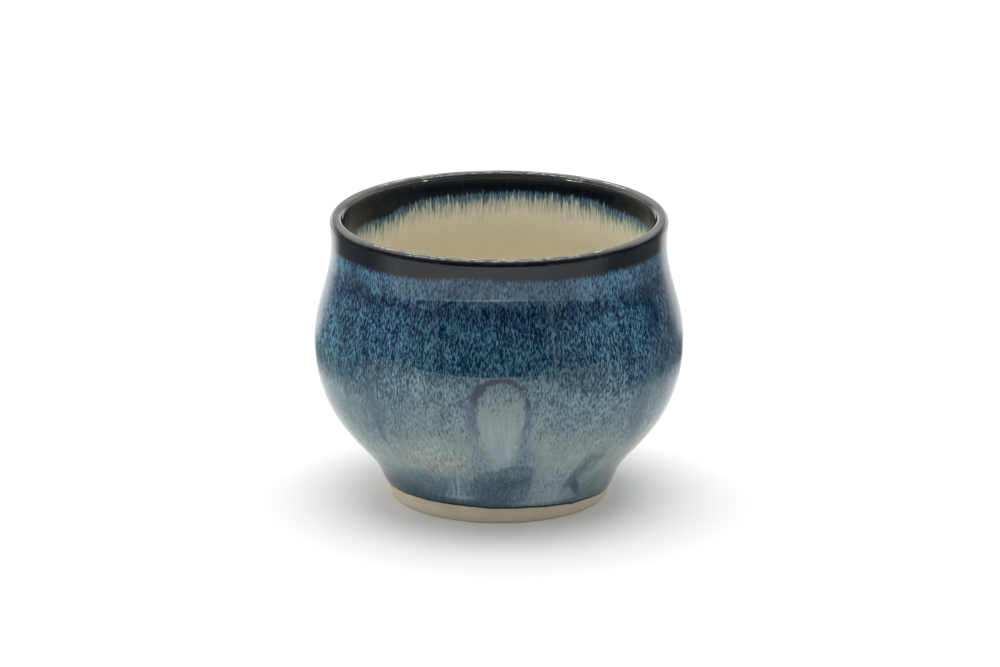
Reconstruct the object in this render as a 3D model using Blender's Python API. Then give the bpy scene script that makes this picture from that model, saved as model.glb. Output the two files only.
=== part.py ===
"""Hand-thrown shaving mug: a round-bellied stoneware cup on a turned foot, with its glaze coats.

The pot stands on z = 0 with its axis on +Z. One outline, drawn in the plane of radius and height,
runs from under the foot, up the outside, over the lip and down the inside to the floor. The clay
body and each coat of glaze are turned from stretches of that outline, set back by the depth at
which they lie below the finished surface.
"""

import math

import bmesh
import bpy
import numpy as np
from mathutils import Vector
from mathutils.geometry import interpolate_bezier

MM = 0.001

# Overall sizes, in millimetres.
BELLY_RADIUS = 50.0
BELLY_HEIGHT = 44.2
NECK_RADIUS = 45.4
NECK_HEIGHT = 70.6
LIP_RADIUS = 45.7
LIP_BEAD = 1.8          # radius of the rounded lip in section
MUG_HEIGHT = 78.0

# Turned foot.
FOOT_RADIUS = 29.0      # outer edge where it stands
FOOT_EDGE = 0.4         # sponged edge of the foot
FOOT_RING_INNER = 24.0
RECESS_RADIUS = 22.6
RECESS_DEPTH = 3.0
SHOULDER_RADIUS = 32.6  # where the foot turns out into the wall
SHOULDER_HEIGHT = 8.2
SHOULDER_LEAN = math.radians(26.3)

# Inside of the cup.
INNER_NECK_RADIUS = 41.5
INNER_NECK_HEIGHT = 70.0
INNER_BELLY_RADIUS = 45.4
INNER_BELLY_HEIGHT = 45.0
FLOOR_HEIGHT = 8.6

# Glaze coats: thickness of each, and the clearance kept between neighbouring solids.
BLUE_COAT = 0.6
DARK_COAT = 0.5
LINER_COAT = 0.5
GAP = 0.3
BARE_CLAY_HEIGHT = 4.5  # the foot is wiped clean up to here
DARK_HEM = 0.8          # dark coat left showing below the blue one

SEGMENTS = 48           # round the axis; a multiple of 4, so the box is true

UNDER_BLUE = BLUE_COAT + GAP
CLAY_UNDER_BLUE = UNDER_BLUE + DARK_COAT + GAP
CLAY_UNDER_DARK = DARK_COAT + GAP
CLAY_UNDER_LINER = LINER_COAT + GAP


def bezier(start, handle_a, handle_b, end, steps):
    """Points along one Bezier span of (radius, height), without its first point."""
    knots = [Vector((x, z, 0.0)) for x, z in (start, handle_a, handle_b, end)]
    return [(p.x, p.y) for p in interpolate_bezier(*knots, steps + 1)][1:]


def lip_arc(centre, bead, steps):
    """Points over the lip, from its outer side to its inner side, without the first point."""
    angles = [math.pi * i / steps for i in range(1, steps + 1)]
    return [(centre[0] + bead * math.cos(a), centre[1] + bead * math.sin(a)) for a in angles]


def foot_cone(height):
    """Radius and height of a point on the straight flare of the foot."""
    flare = (SHOULDER_RADIUS - FOOT_RADIUS) / SHOULDER_HEIGHT
    return (FOOT_RADIUS + flare * height, height)


def cup_outline():
    """The glazed outline as an array of points, and the index of each named station in it."""
    lip_height = MUG_HEIGHT - LIP_BEAD
    lean = Vector((math.sin(SHOULDER_LEAN), math.cos(SHOULDER_LEAN))) * 9.1
    shoulder = (SHOULDER_RADIUS, SHOULDER_HEIGHT)
    belly = (BELLY_RADIUS, BELLY_HEIGHT)
    neck = (NECK_RADIUS, NECK_HEIGHT)
    lip_outer = (LIP_RADIUS, lip_height)
    lip_centre = (LIP_RADIUS - LIP_BEAD, lip_height)
    lip_inner = (LIP_RADIUS - 2 * LIP_BEAD, lip_height)
    inner_neck = (INNER_NECK_RADIUS, INNER_NECK_HEIGHT)
    inner_belly = (INNER_BELLY_RADIUS, INNER_BELLY_HEIGHT)
    floor = (0.0, FLOOR_HEIGHT)

    spans = [
        ("shoulder", [shoulder]),
        ("belly", bezier(shoulder, (shoulder[0] + lean.x, shoulder[1] + lean.y),
                         (belly[0], belly[1] - 22.6), belly, 8)),
        ("neck", bezier(belly, (belly[0], belly[1] + 9.0), (neck[0], neck[1] - 10.1), neck, 5)),
        ("lip_outer", bezier(neck, (neck[0], neck[1] + 3.0),
                             (lip_outer[0], lip_outer[1] - 0.5), lip_outer, 2)),
        ("lip_inner", lip_arc(lip_centre, LIP_BEAD, 6)),
        ("inner_neck", bezier(lip_inner, (lip_inner[0], lip_inner[1] - 1.5),
                              (inner_neck[0], inner_neck[1] + 2.0), inner_neck, 2)),
        ("inner_belly", bezier(inner_neck, (inner_neck[0], inner_neck[1] - 9.5),
                               (inner_belly[0], inner_belly[1] + 9.0), inner_belly, 4)),
        ("floor", bezier(inner_belly, (inner_belly[0], inner_belly[1] - 23.0),
                         (29.0, FLOOR_HEIGHT), floor, 9)),
    ]
    points = [foot_cone(FOOT_EDGE)]
    stations = {"foot": 0}
    for name, span in spans:
        points += span
        stations[name] = len(points) - 1
    return np.array(points), stations


def inward_normals(points):
    """Unit normals that point from the finished surface into the clay, one for each point."""
    along = np.gradient(points, axis=0)
    along[-1] = (-1.0, 0.0)
    normals = np.stack([-along[:, 1], along[:, 0]], axis=1)
    return normals / np.linalg.norm(normals, axis=1, keepdims=True)


OUTLINE, STATION = cup_outline()
INWARD = inward_normals(OUTLINE)


def stretch(first, last, depth=0.0):
    """Outline points from one station to another, both included, at a depth below the surface."""
    span = slice(STATION[first], STATION[last] + 1)
    return [tuple(p) for p in OUTLINE[span] + INWARD[span] * depth]


def raised_start(points, rise):
    """The same points with the first one moved up or down."""
    return [(points[0][0], points[0][1] + rise)] + points[1:]


def raised_end(points, rise):
    """The same points with the last one moved up or down."""
    return points[:-1] + [(points[-1][0], points[-1][1] + rise)]


def clay_profile():
    """Section of the clay: bare foot, a wall set back under the coats, the lip and the floor."""
    underside = [
        (0.0, RECESS_DEPTH),
        (RECESS_RADIUS, RECESS_DEPTH),
        (FOOT_RING_INNER - FOOT_EDGE, FOOT_EDGE),
        (FOOT_RING_INNER, 0.0),
        (FOOT_RADIUS - FOOT_EDGE, 0.0),
    ]
    ledge_radius, ledge_height = foot_cone(BARE_CLAY_HEIGHT)
    ledge = [(ledge_radius, ledge_height), (ledge_radius - CLAY_UNDER_BLUE, ledge_height)]
    wall = raised_end(stretch("shoulder", "neck", CLAY_UNDER_BLUE), CLAY_UNDER_DARK)
    rim = raised_start(stretch("neck", "inner_neck", CLAY_UNDER_DARK), CLAY_UNDER_DARK)
    inside = stretch("inner_neck", "floor", CLAY_UNDER_LINER)[1:]
    return underside + stretch("foot", "foot") + ledge + wall + rim + inside


def dark_profile():
    """Section of the dark coat: a hem above the foot, a skin under the blue, and the whole rim."""
    hem_radius, hem_height = foot_cone(BARE_CLAY_HEIGHT + GAP)
    edge_radius, edge_height = foot_cone(BARE_CLAY_HEIGHT + GAP + DARK_HEM)
    outside = [
        (hem_radius, hem_height),
        (edge_radius, edge_height),
        (edge_radius - UNDER_BLUE, edge_height),
    ]
    outside += stretch("shoulder", "neck", UNDER_BLUE) + stretch("neck", "inner_neck")
    rim = raised_start(stretch("neck", "inner_neck", DARK_COAT), DARK_COAT)
    wall = raised_end(stretch("shoulder", "neck", UNDER_BLUE + DARK_COAT), DARK_COAT)
    foot_end = [(hem_radius - UNDER_BLUE - DARK_COAT, hem_height)]
    return outside + rim[::-1] + wall[::-1] + foot_end


def blue_profile():
    """Section of the blue coat, from its hem above the foot up to the dark rim band."""
    hem_radius, hem_height = foot_cone(BARE_CLAY_HEIGHT + 2 * GAP + DARK_HEM)
    outside = [(hem_radius, hem_height)] + raised_end(stretch("shoulder", "neck"), -GAP)
    inside = raised_end(stretch("shoulder", "neck", BLUE_COAT), -GAP)
    return outside + inside[::-1] + [(hem_radius - BLUE_COAT, hem_height)]


def liner_profile():
    """Section of the cream coat: a thin bowl from the dark band down to the axis."""
    inside = raised_start(stretch("inner_neck", "floor"), -GAP)
    outside = raised_start(stretch("inner_neck", "floor", LINER_COAT), -GAP)
    return outside[::-1] + inside


def finish(name, colour, roughness):
    """A plain Principled BSDF material for one sub-part."""
    material = bpy.data.materials.new(name)
    material.use_nodes = True
    material.diffuse_color = (*colour, 1.0)
    shader = material.node_tree.nodes["Principled BSDF"]
    shader.inputs["Base Color"].default_value = (*colour, 1.0)
    shader.inputs["Roughness"].default_value = roughness
    shader.inputs["Metallic"].default_value = 0.0
    return material


def turn(name, profile, material, closed):
    """Spin a section round +Z into one closed solid.

    A closed section is a ring of points clear of the axis; an open one starts and ends on it.
    """
    shape = bmesh.new()
    verts = [shape.verts.new((radius * MM, 0.0, height * MM)) for radius, height in profile]
    edges = [shape.edges.new(pair) for pair in zip(verts, verts[1:])]
    if closed:
        edges.append(shape.edges.new((verts[-1], verts[0])))
    bmesh.ops.spin(shape, geom=verts + edges, cent=(0, 0, 0), axis=(0, 0, 1),
                   steps=SEGMENTS, angle=2 * math.pi, use_merge=True)
    bmesh.ops.remove_doubles(shape, verts=shape.verts, dist=1e-6)
    bmesh.ops.recalc_face_normals(shape, faces=shape.faces)
    mesh = bpy.data.meshes.new(name)
    shape.to_mesh(mesh)
    shape.free()
    mesh.shade_smooth()
    mesh.set_sharp_from_angle(angle=math.radians(35.0))
    mesh.materials.append(material)
    part = bpy.data.objects.new(name, mesh)
    bpy.context.scene.collection.objects.link(part)
    return part


def main():
    """Clear the scene and make the clay body and its three coats under one empty."""
    for old in list(bpy.data.objects):
        bpy.data.objects.remove(old, do_unlink=True)

    mug = bpy.data.objects.new("mug", None)
    bpy.context.scene.collection.objects.link(mug)
    parts = [
        turn("clay_body", clay_profile(), finish("clay", (0.42, 0.37, 0.28), 0.85), False),
        turn("dark_glaze", dark_profile(), finish("dark_glaze", (0.012, 0.016, 0.024), 0.2), True),
        turn("blue_glaze", blue_profile(), finish("blue_glaze", (0.09, 0.17, 0.22), 0.15), True),
        turn("liner_glaze", liner_profile(), finish("liner_glaze", (0.42, 0.37, 0.23), 0.35), False),
    ]
    for part in parts:
        part.parent = mug


if __name__ == "__main__":
    main()
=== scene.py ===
"""Looks of a hand-thrown stoneware shaving mug: clay, three coats of glaze, and a plain light tent.

The cup is a turned shape. One contour, in the plane of radius and height, runs from the edge of the
foot up the outside, over the lip and down the inside to the middle of the floor. Every piece is a
closed section laid along that contour, and one Geometry Nodes tree turns the sections round +Z. The
front of the cup is -Y. Lengths are in metres in the meshes and in millimetres in the design values.
"""

import logging
import math
from dataclasses import dataclass, field
from enum import Enum
from typing import Callable, Sequence

import bpy
import numpy as np
from mathutils import Matrix, Vector
from mathutils.geometry import interpolate_bezier

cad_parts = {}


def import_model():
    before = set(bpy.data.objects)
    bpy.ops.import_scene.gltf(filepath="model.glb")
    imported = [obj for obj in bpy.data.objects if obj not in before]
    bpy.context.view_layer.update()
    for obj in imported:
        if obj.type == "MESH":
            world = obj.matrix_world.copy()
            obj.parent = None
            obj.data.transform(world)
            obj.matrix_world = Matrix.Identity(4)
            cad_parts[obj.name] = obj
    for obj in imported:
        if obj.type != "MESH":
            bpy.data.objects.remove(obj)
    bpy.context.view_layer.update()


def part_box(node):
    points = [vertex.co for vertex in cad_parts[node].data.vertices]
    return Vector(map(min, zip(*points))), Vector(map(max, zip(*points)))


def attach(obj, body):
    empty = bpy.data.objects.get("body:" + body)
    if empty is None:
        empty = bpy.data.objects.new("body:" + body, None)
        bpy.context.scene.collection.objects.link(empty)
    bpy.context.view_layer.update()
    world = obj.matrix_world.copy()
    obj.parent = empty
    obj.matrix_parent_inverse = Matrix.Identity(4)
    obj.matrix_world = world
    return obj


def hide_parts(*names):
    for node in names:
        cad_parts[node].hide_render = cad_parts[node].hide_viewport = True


MM = 0.001
FLOW_RADIUS = 48.0  # radius, in mm, of the cylinder that the running pattern is unrolled from
MIX_COLOUR_INPUTS = (0, 6, 7)  # the Mix node's inputs when it blends colours
MIX_COLOUR_OUTPUT = 2

Colour = tuple[float, float, float]
Point = tuple[float, float]
log = logging.getLogger("shaving_mug")


class Slot(Enum):
    """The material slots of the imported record."""

    CLAY = "bare_clay"
    DARK = "dark_glaze"
    BLUE = "blue_glaze"
    LINER = "liner_glaze"


class Node(Enum):
    """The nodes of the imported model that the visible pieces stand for."""

    CLAY = "clay_body"
    DARK = "dark_glaze"
    BLUE = "blue_glaze"
    LINER = "liner_glaze"


# ---------------------------------------------------------------------------------------------
# Node trees
# ---------------------------------------------------------------------------------------------


@dataclass(frozen=True, eq=False)
class Value:
    """The output of a node; arithmetic on it adds Math nodes to its graph."""

    graph: "Graph"
    socket: bpy.types.NodeSocket

    def __add__(self, other: object) -> "Value":
        """This value plus another."""
        return self.graph.math("ADD", self, other)

    def __radd__(self, other: object) -> "Value":
        """Another value plus this one."""
        return self.graph.math("ADD", other, self)

    def __sub__(self, other: object) -> "Value":
        """This value less another."""
        return self.graph.math("SUBTRACT", self, other)

    def __rsub__(self, other: object) -> "Value":
        """Another value less this one."""
        return self.graph.math("SUBTRACT", other, self)

    def __mul__(self, other: object) -> "Value":
        """This value times another."""
        return self.graph.math("MULTIPLY", self, other)

    def __rmul__(self, other: object) -> "Value":
        """Another value times this one."""
        return self.graph.math("MULTIPLY", other, self)

    def __truediv__(self, other: object) -> "Value":
        """This value over another."""
        return self.graph.math("DIVIDE", self, other)

    def __abs__(self) -> "Value":
        """This value without its sign."""
        return self.graph.math("ABSOLUTE", self)


class Graph:
    """Adds nodes to one tree and wires them up.

    What is handed to any method is either a value or a socket, which is linked, or a plain number,
    vector or colour, which is set on the input.
    """

    def __init__(self, tree: bpy.types.NodeTree) -> None:
        """Start on a tree.

        Args:
            tree: The shader or geometry tree to add to.
        """
        self.tree = tree
        self.count = 0

    def node(self, kind: str, **settings: object) -> bpy.types.Node:
        """Add a node of a kind, with its settings.

        Args:
            kind: The node's type name.
            **settings: Properties to set on it.

        Returns:
            The new node.
        """
        made = self.tree.nodes.new(kind)
        made.location = (220 * (self.count // 6), -260 * (self.count % 6))
        self.count += 1
        for name, value in settings.items():
            setattr(made, name, value)
        return made

    def feed(self, socket: bpy.types.NodeSocket, value: object) -> None:
        """Link a value into an input, or set the input's own value.

        Args:
            socket: The input.
            value: A value, a socket, or a plain number, vector or colour.
        """
        value = value.socket if isinstance(value, Value) else value
        if isinstance(value, bpy.types.NodeSocket):
            self.tree.links.new(value, socket)
        elif socket.type == "RGBA" and len(value) == 3:
            socket.default_value = (*value, 1.0)
        else:
            socket.default_value = value

    def call(self, kind: str, output: str, inputs: dict[str, object],
             **settings: object) -> Value:
        """Add a node, feed its inputs by name and hand back one output.

        Args:
            kind: The node's type name.
            output: The name of the output to return.
            inputs: Values by input name.
            **settings: Properties to set on the node.

        Returns:
            That output.
        """
        made = self.node(kind, **settings)
        for name, value in inputs.items():
            self.feed(made.inputs[name], value)
        return Value(self, made.outputs[output])

    def math(self, operation: str, *values: object, clamp: bool = False) -> Value:
        """A Math node.

        Args:
            operation: The operation's name.
            *values: Its inputs, in order.
            clamp: Whether the result is held in 0 to 1.

        Returns:
            The result.
        """
        made = self.node("ShaderNodeMath", operation=operation, use_clamp=clamp)
        for socket, value in zip(made.inputs, values):
            self.feed(socket, value)
        return Value(self, made.outputs[0])

    def vector(self, operation: str, *values: object) -> Value:
        """A Vector Math node.

        Args:
            operation: The operation's name.
            *values: Its inputs, in order.

        Returns:
            The result.
        """
        made = self.node("ShaderNodeVectorMath", operation=operation)
        names = (0, "Scale") if operation == "SCALE" else range(len(values))
        for name, value in zip(names, values):
            self.feed(made.inputs[name], value)
        return Value(self, made.outputs["Vector"])

    def combine(self, x: object, y: object, z: object) -> Value:
        """A vector from its three parts."""
        return self.call("ShaderNodeCombineXYZ", "Vector", {"X": x, "Y": y, "Z": z})

    def separate(self, vector: object) -> tuple[Value, ...]:
        """Split a vector.

        Args:
            vector: The vector.

        Returns:
            Its three parts.
        """
        made = self.node("ShaderNodeSeparateXYZ")
        self.feed(made.inputs[0], vector)
        return tuple(Value(self, part) for part in made.outputs)

    def noise(self, vector: object, detail: float = 2.0, roughness: float = 0.5,
              seed: object = 0.0) -> Value:
        """Smooth noise centred on zero.

        Args:
            vector: Where it is read, in units of the feature's size.
            detail: Number of finer octaves.
            roughness: Weight of the finer octaves.
            seed: Which noise this is.

        Returns:
            A value from about -0.5 to 0.5.
        """
        made = self.node("ShaderNodeTexNoise", noise_dimensions="4D")
        for name, value in (("Vector", vector), ("W", seed), ("Scale", 1.0), ("Detail", detail),
                            ("Roughness", roughness)):
            self.feed(made.inputs[name], value)
        return Value(self, made.outputs[0]) - 0.5

    def step(self, value: object, low: object, high: object) -> Value:
        """A smooth step from 0 at low to 1 at high."""
        return self.call("ShaderNodeMapRange", "Result",
                         {"Value": value, "From Min": low, "From Max": high},
                         interpolation_type="SMOOTHSTEP")

    def mix(self, factor: object, first: object, second: object) -> Value:
        """Blend two colours.

        Args:
            factor: Share of the second.
            first: One colour.
            second: The other colour.

        Returns:
            The blend.
        """
        made = self.node("ShaderNodeMix", data_type="RGBA")
        for index, value in zip(MIX_COLOUR_INPUTS, (factor, first, second)):
            self.feed(made.inputs[index], value)
        return Value(self, made.outputs[MIX_COLOUR_OUTPUT])

    def ramp(self, factor: object, stops: Sequence[tuple[float, Colour]]) -> Value:
        """A colour ramp.

        Args:
            factor: Where it is read, 0 to 1.
            stops: Positions and colours in rising order.

        Returns:
            The colour.
        """
        made = self.node("ShaderNodeValToRGB")
        elements = made.color_ramp.elements
        while len(elements) < len(stops):
            elements.new(0.5)
        for element, (place, colour) in zip(elements, stops):
            element.position = place
            element.color = (*colour, 1.0)
        self.feed(made.inputs[0], factor)
        return Value(self, made.outputs[0])

    def curve(self, factor: object, points: Sequence[tuple[float, float]]) -> Value:
        """A smooth curve through points.

        Args:
            factor: Where it is read, 0 to 1.
            points: Places and values, both 0 to 1, in rising order of place.

        Returns:
            The value.
        """
        made = self.node("ShaderNodeFloatCurve")
        line = made.mapping.curves[0]
        while len(line.points) < len(points):
            line.points.new(0.5, 0.5)
        for point, place in zip(line.points, points):
            point.location = place
        made.mapping.update()
        self.feed(made.inputs["Value"], factor)
        return Value(self, made.outputs[0])

    def group(self, tree: bpy.types.NodeTree, **inputs: object) -> dict[str, Value]:
        """Place a node group.

        Args:
            tree: The group.
            **inputs: Values by input name, with underscores for spaces.

        Returns:
            Its outputs by name.
        """
        made = self.node("ShaderNodeGroup", node_tree=tree)
        for name, value in inputs.items():
            self.feed(made.inputs[name.replace("_", " ")], value)
        return {socket.name: Value(self, socket) for socket in made.outputs}


def new_group(kind: str, name: str, inputs: Sequence[tuple[str, str]],
              outputs: Sequence[tuple[str, str]]
              ) -> tuple[bpy.types.NodeTree, Graph, dict[str, Value], bpy.types.Node]:
    """Start a node group with named sockets.

    Args:
        kind: The tree's type name.
        name: The group's name.
        inputs: Names and socket types of its inputs.
        outputs: Names and socket types of its outputs.

    Returns:
        The tree, a graph on it, its inputs by name and its output node.
    """
    tree = bpy.data.node_groups.new(name, kind)
    for socket, form in inputs:
        tree.interface.new_socket(socket, in_out="INPUT", socket_type="NodeSocket" + form)
    for socket, form in outputs:
        tree.interface.new_socket(socket, in_out="OUTPUT", socket_type="NodeSocket" + form)
    graph = Graph(tree)
    entry = graph.node("NodeGroupInput")
    leave = graph.node("NodeGroupOutput")
    return tree, graph, {socket.name: Value(graph, socket) for socket in entry.outputs}, leave


# ---------------------------------------------------------------------------------------------
# The turned shape
# ---------------------------------------------------------------------------------------------


def bezier(start: Point, handle_a: Point, handle_b: Point, end: Point, steps: int) -> list[Point]:
    """Points along one Bezier span of (radius, height).

    Args:
        start: First point.
        handle_a: Handle of the first point.
        handle_b: Handle of the last point.
        end: Last point.
        steps: Number of chords.

    Returns:
        The points, both ends included.
    """
    knots = [Vector((x, z, 0.0)) for x, z in (start, handle_a, handle_b, end)]
    return [(p.x, p.y) for p in interpolate_bezier(*knots, steps + 1)]


@dataclass
class CupContour:
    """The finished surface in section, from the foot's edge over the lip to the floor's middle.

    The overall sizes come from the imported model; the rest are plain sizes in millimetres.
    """

    belly_radius: float
    height: float
    foot_radius: float = 29.0
    shoulder: tuple[float, float] = (32.6, 8.2)
    shoulder_lean: float = math.radians(26.3)
    belly_height: float = 44.2
    neck: tuple[float, float] = (45.4, 70.6)
    lip_radius: float = 45.7
    lip_bead: float = 1.8
    ridge_at: float = 2.36  # past the crest of the lip, along the contour
    ridge_height: float = 0.17
    ridge_width: float = 0.19
    inner_neck: tuple[float, float] = (41.5, 70.0)
    inner_belly: tuple[float, float] = (45.4, 45.0)
    floor_height: float = 8.6
    points: np.ndarray = field(init=False)
    reach: np.ndarray = field(init=False)
    normals: np.ndarray = field(init=False)

    def __post_init__(self) -> None:
        """Draw the contour and measure along it."""
        self.points = np.array(self.draw())
        self.measure()
        away = (self.reach - self.crest - self.ridge_at) / self.ridge_width
        rise = self.ridge_height * np.exp(-0.5 * away * away)
        self.points = self.points + self.normals * rise[:, None]
        self.measure()

    def measure(self) -> None:
        """Work out the reach and the outward normal of every point."""
        steps = np.linalg.norm(np.diff(self.points, axis=0), axis=1)
        self.reach = np.concatenate([[0.0], np.cumsum(steps)])
        along = np.gradient(self.points, self.reach, axis=0)
        normals = np.stack([along[:, 1], -along[:, 0]], axis=1)
        self.normals = normals / np.linalg.norm(normals, axis=1, keepdims=True)
        self.normals[-1] = (0.0, 1.0)

    @classmethod
    def from_frame(cls) -> "CupContour":
        """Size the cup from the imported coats.

        Returns:
            The contour.
        """
        _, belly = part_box(Node.BLUE.value)
        _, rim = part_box(Node.DARK.value)
        return cls(belly_radius=belly.x / MM, height=rim.z / MM)

    def draw(self) -> list[Point]:
        """Draw the contour.

        Returns:
            Its points as (radius, height), without repeats.
        """
        lip_height = self.height - self.lip_bead
        lean = (9.1 * math.sin(self.shoulder_lean), 9.1 * math.cos(self.shoulder_lean))
        belly = (self.belly_radius, self.belly_height)
        lip_outer = (self.lip_radius, lip_height)
        lip_centre = self.lip_radius - self.lip_bead
        lip_inner = (self.lip_radius - 2 * self.lip_bead, lip_height)
        shoulder, neck = self.shoulder, self.neck
        inner_neck, inner_belly = self.inner_neck, self.inner_belly
        foot = [(self.foot_radius + (shoulder[0] - self.foot_radius) * t, shoulder[1] * t)
                for t in np.linspace(0.0, 1.0, 40)]
        bead = [(lip_centre + self.lip_bead * math.cos(a), lip_height + self.lip_bead * math.sin(a))
                for a in np.linspace(0.0, math.pi, 120)]
        spans = [
            foot,
            bezier(shoulder, (shoulder[0] + lean[0], shoulder[1] + lean[1]),
                   (belly[0], belly[1] - 22.6), belly, 160),
            bezier(belly, (belly[0], belly[1] + 9.0), (neck[0], neck[1] - 10.1), neck, 120),
            bezier(neck, (neck[0], neck[1] + 3.0), (lip_outer[0], lip_outer[1] - 0.5),
                   lip_outer, 40),
            bead,
            bezier(lip_inner, (lip_inner[0], lip_inner[1] - 1.5),
                   (inner_neck[0], inner_neck[1] + 2.0), inner_neck, 40),
            bezier(inner_neck, (inner_neck[0], inner_neck[1] - 9.5),
                   (inner_belly[0], inner_belly[1] + 9.0), inner_belly, 100),
            bezier(inner_belly, (inner_belly[0], inner_belly[1] - 23.0),
                   (29.0, self.floor_height), (0.0, self.floor_height), 200),
        ]
        return [point for span in spans for point in span[:-1]] + [spans[-1][-1]]

    @property
    def crest(self) -> float:
        """Reach of the top of the lip."""
        return float(self.reach[self.points[:, 1].argmax()])

    @property
    def end(self) -> float:
        """Reach of the middle of the floor."""
        return float(self.reach[-1])

    def outside(self, height: float) -> float:
        """Reach of a height on the outer wall."""
        rising = self.reach <= self.crest
        return float(np.interp(height, self.points[rising, 1], self.reach[rising]))

    def inside(self, height: float) -> float:
        """Reach of a height on the inner wall."""
        falling = self.reach >= self.crest
        return float(np.interp(-height, -self.points[falling, 1], self.reach[falling]))

    def place(self, reach: np.ndarray, depth: np.ndarray) -> tuple[np.ndarray, np.ndarray]:
        """Points at a reach along the contour and a depth below it.

        Args:
            reach: Distances along the contour.
            depth: Depths into the wall.

        Returns:
            Points and outward normals, both as (radius, height).
        """
        points = np.stack([np.interp(reach, self.reach, self.points[:, k]) for k in (0, 1)], 1)
        normals = np.stack([np.interp(reach, self.reach, self.normals[:, k]) for k in (0, 1)], 1)
        normals /= np.linalg.norm(normals, axis=1, keepdims=True)
        points = points - normals * np.asarray(depth)[:, None]
        points[:, 0] = np.maximum(points[:, 0], 0.0)
        return points, normals


@dataclass
class Section:
    """A closed outline to be turned, with what each of its points knows.

    Each row holds reach along the contour, depth below it, and how far the foot edge's waver moves
    the point.
    """

    contour: CupContour
    rows: list[tuple[float, float, float]] = field(default_factory=list)
    fixed: list[tuple[float, float]] = field(default_factory=list)

    def run(self, start: float, end: float, spacing: float, depth: Callable[[float], float],
            hem: Callable[[float], float] | None = None) -> None:
        """Add points along the contour.

        Args:
            start: First reach.
            end: Last reach; it may lie before the first.
            spacing: Distance between points, in millimetres.
            depth: Function of reach that gives the depth.
            hem: Function of reach that gives the share of the hem's waver, or None.
        """
        count = max(2, round(abs(end - start) / spacing) + 1)
        for reach in np.linspace(start, end, count):
            self.rows.append((reach, float(depth(reach)), float(hem(reach)) if hem else 0.0))

    def bead(self, reach: float, shallow: float, deep: float, onward: int, hem: float) -> None:
        """Round the end of a coat over.

        Args:
            reach: Where the coat ends.
            shallow: Depth of its outer face.
            deep: Depth of its back.
            onward: 1 if the coat ends going up the reach, -1 if it starts there.
            hem: Share of the hem's waver.
        """
        radius = (deep - shallow) / 2
        turns = np.linspace(0.0, math.pi, 7)[1:-1]
        for turn in turns if onward > 0 else turns[::-1]:
            self.rows.append((reach + onward * radius * math.sin(turn),
                              shallow + radius * (1 - math.cos(turn)), hem))

    def mesh(self, name: str, closed: bool) -> bpy.types.Mesh:
        """Make the outline a mesh of points, with the attributes that the turning tree reads.

        Args:
            name: The mesh's name.
            closed: Whether the last point repeats the first.

        Returns:
            The mesh.
        """
        rows = np.array(self.rows + ([self.rows[0]] if closed else []))
        points, normals = self.contour.place(rows[:, 0], rows[:, 1])
        reach, hem = rows[:, 0], rows[:, 2]
        if self.fixed:
            under = np.array(self.fixed)
            points = np.concatenate([under, points])
            normals = np.concatenate([np.zeros_like(under), normals])
            reach = np.concatenate([np.linspace(-len(under), -1, len(under)), reach])
            hem = np.concatenate([np.zeros(len(under)), hem])
        mesh = bpy.data.meshes.new(name)
        verts = [(r * MM, 0.0, z * MM) for r, z in points]
        mesh.from_pydata(verts, [(i, i + 1) for i in range(len(verts) - 1)], [])
        outward = mesh.attributes.new("outward", "FLOAT_VECTOR", "POINT")
        outward.data.foreach_set("vector", np.insert(normals, 1, 0.0, axis=1).ravel())
        for key, values in (("reach", reach), ("hem", hem)):
            made = mesh.attributes.new(key, "FLOAT", "POINT")
            made.data.foreach_set("value", np.asarray(values, float))
        return mesh


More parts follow.
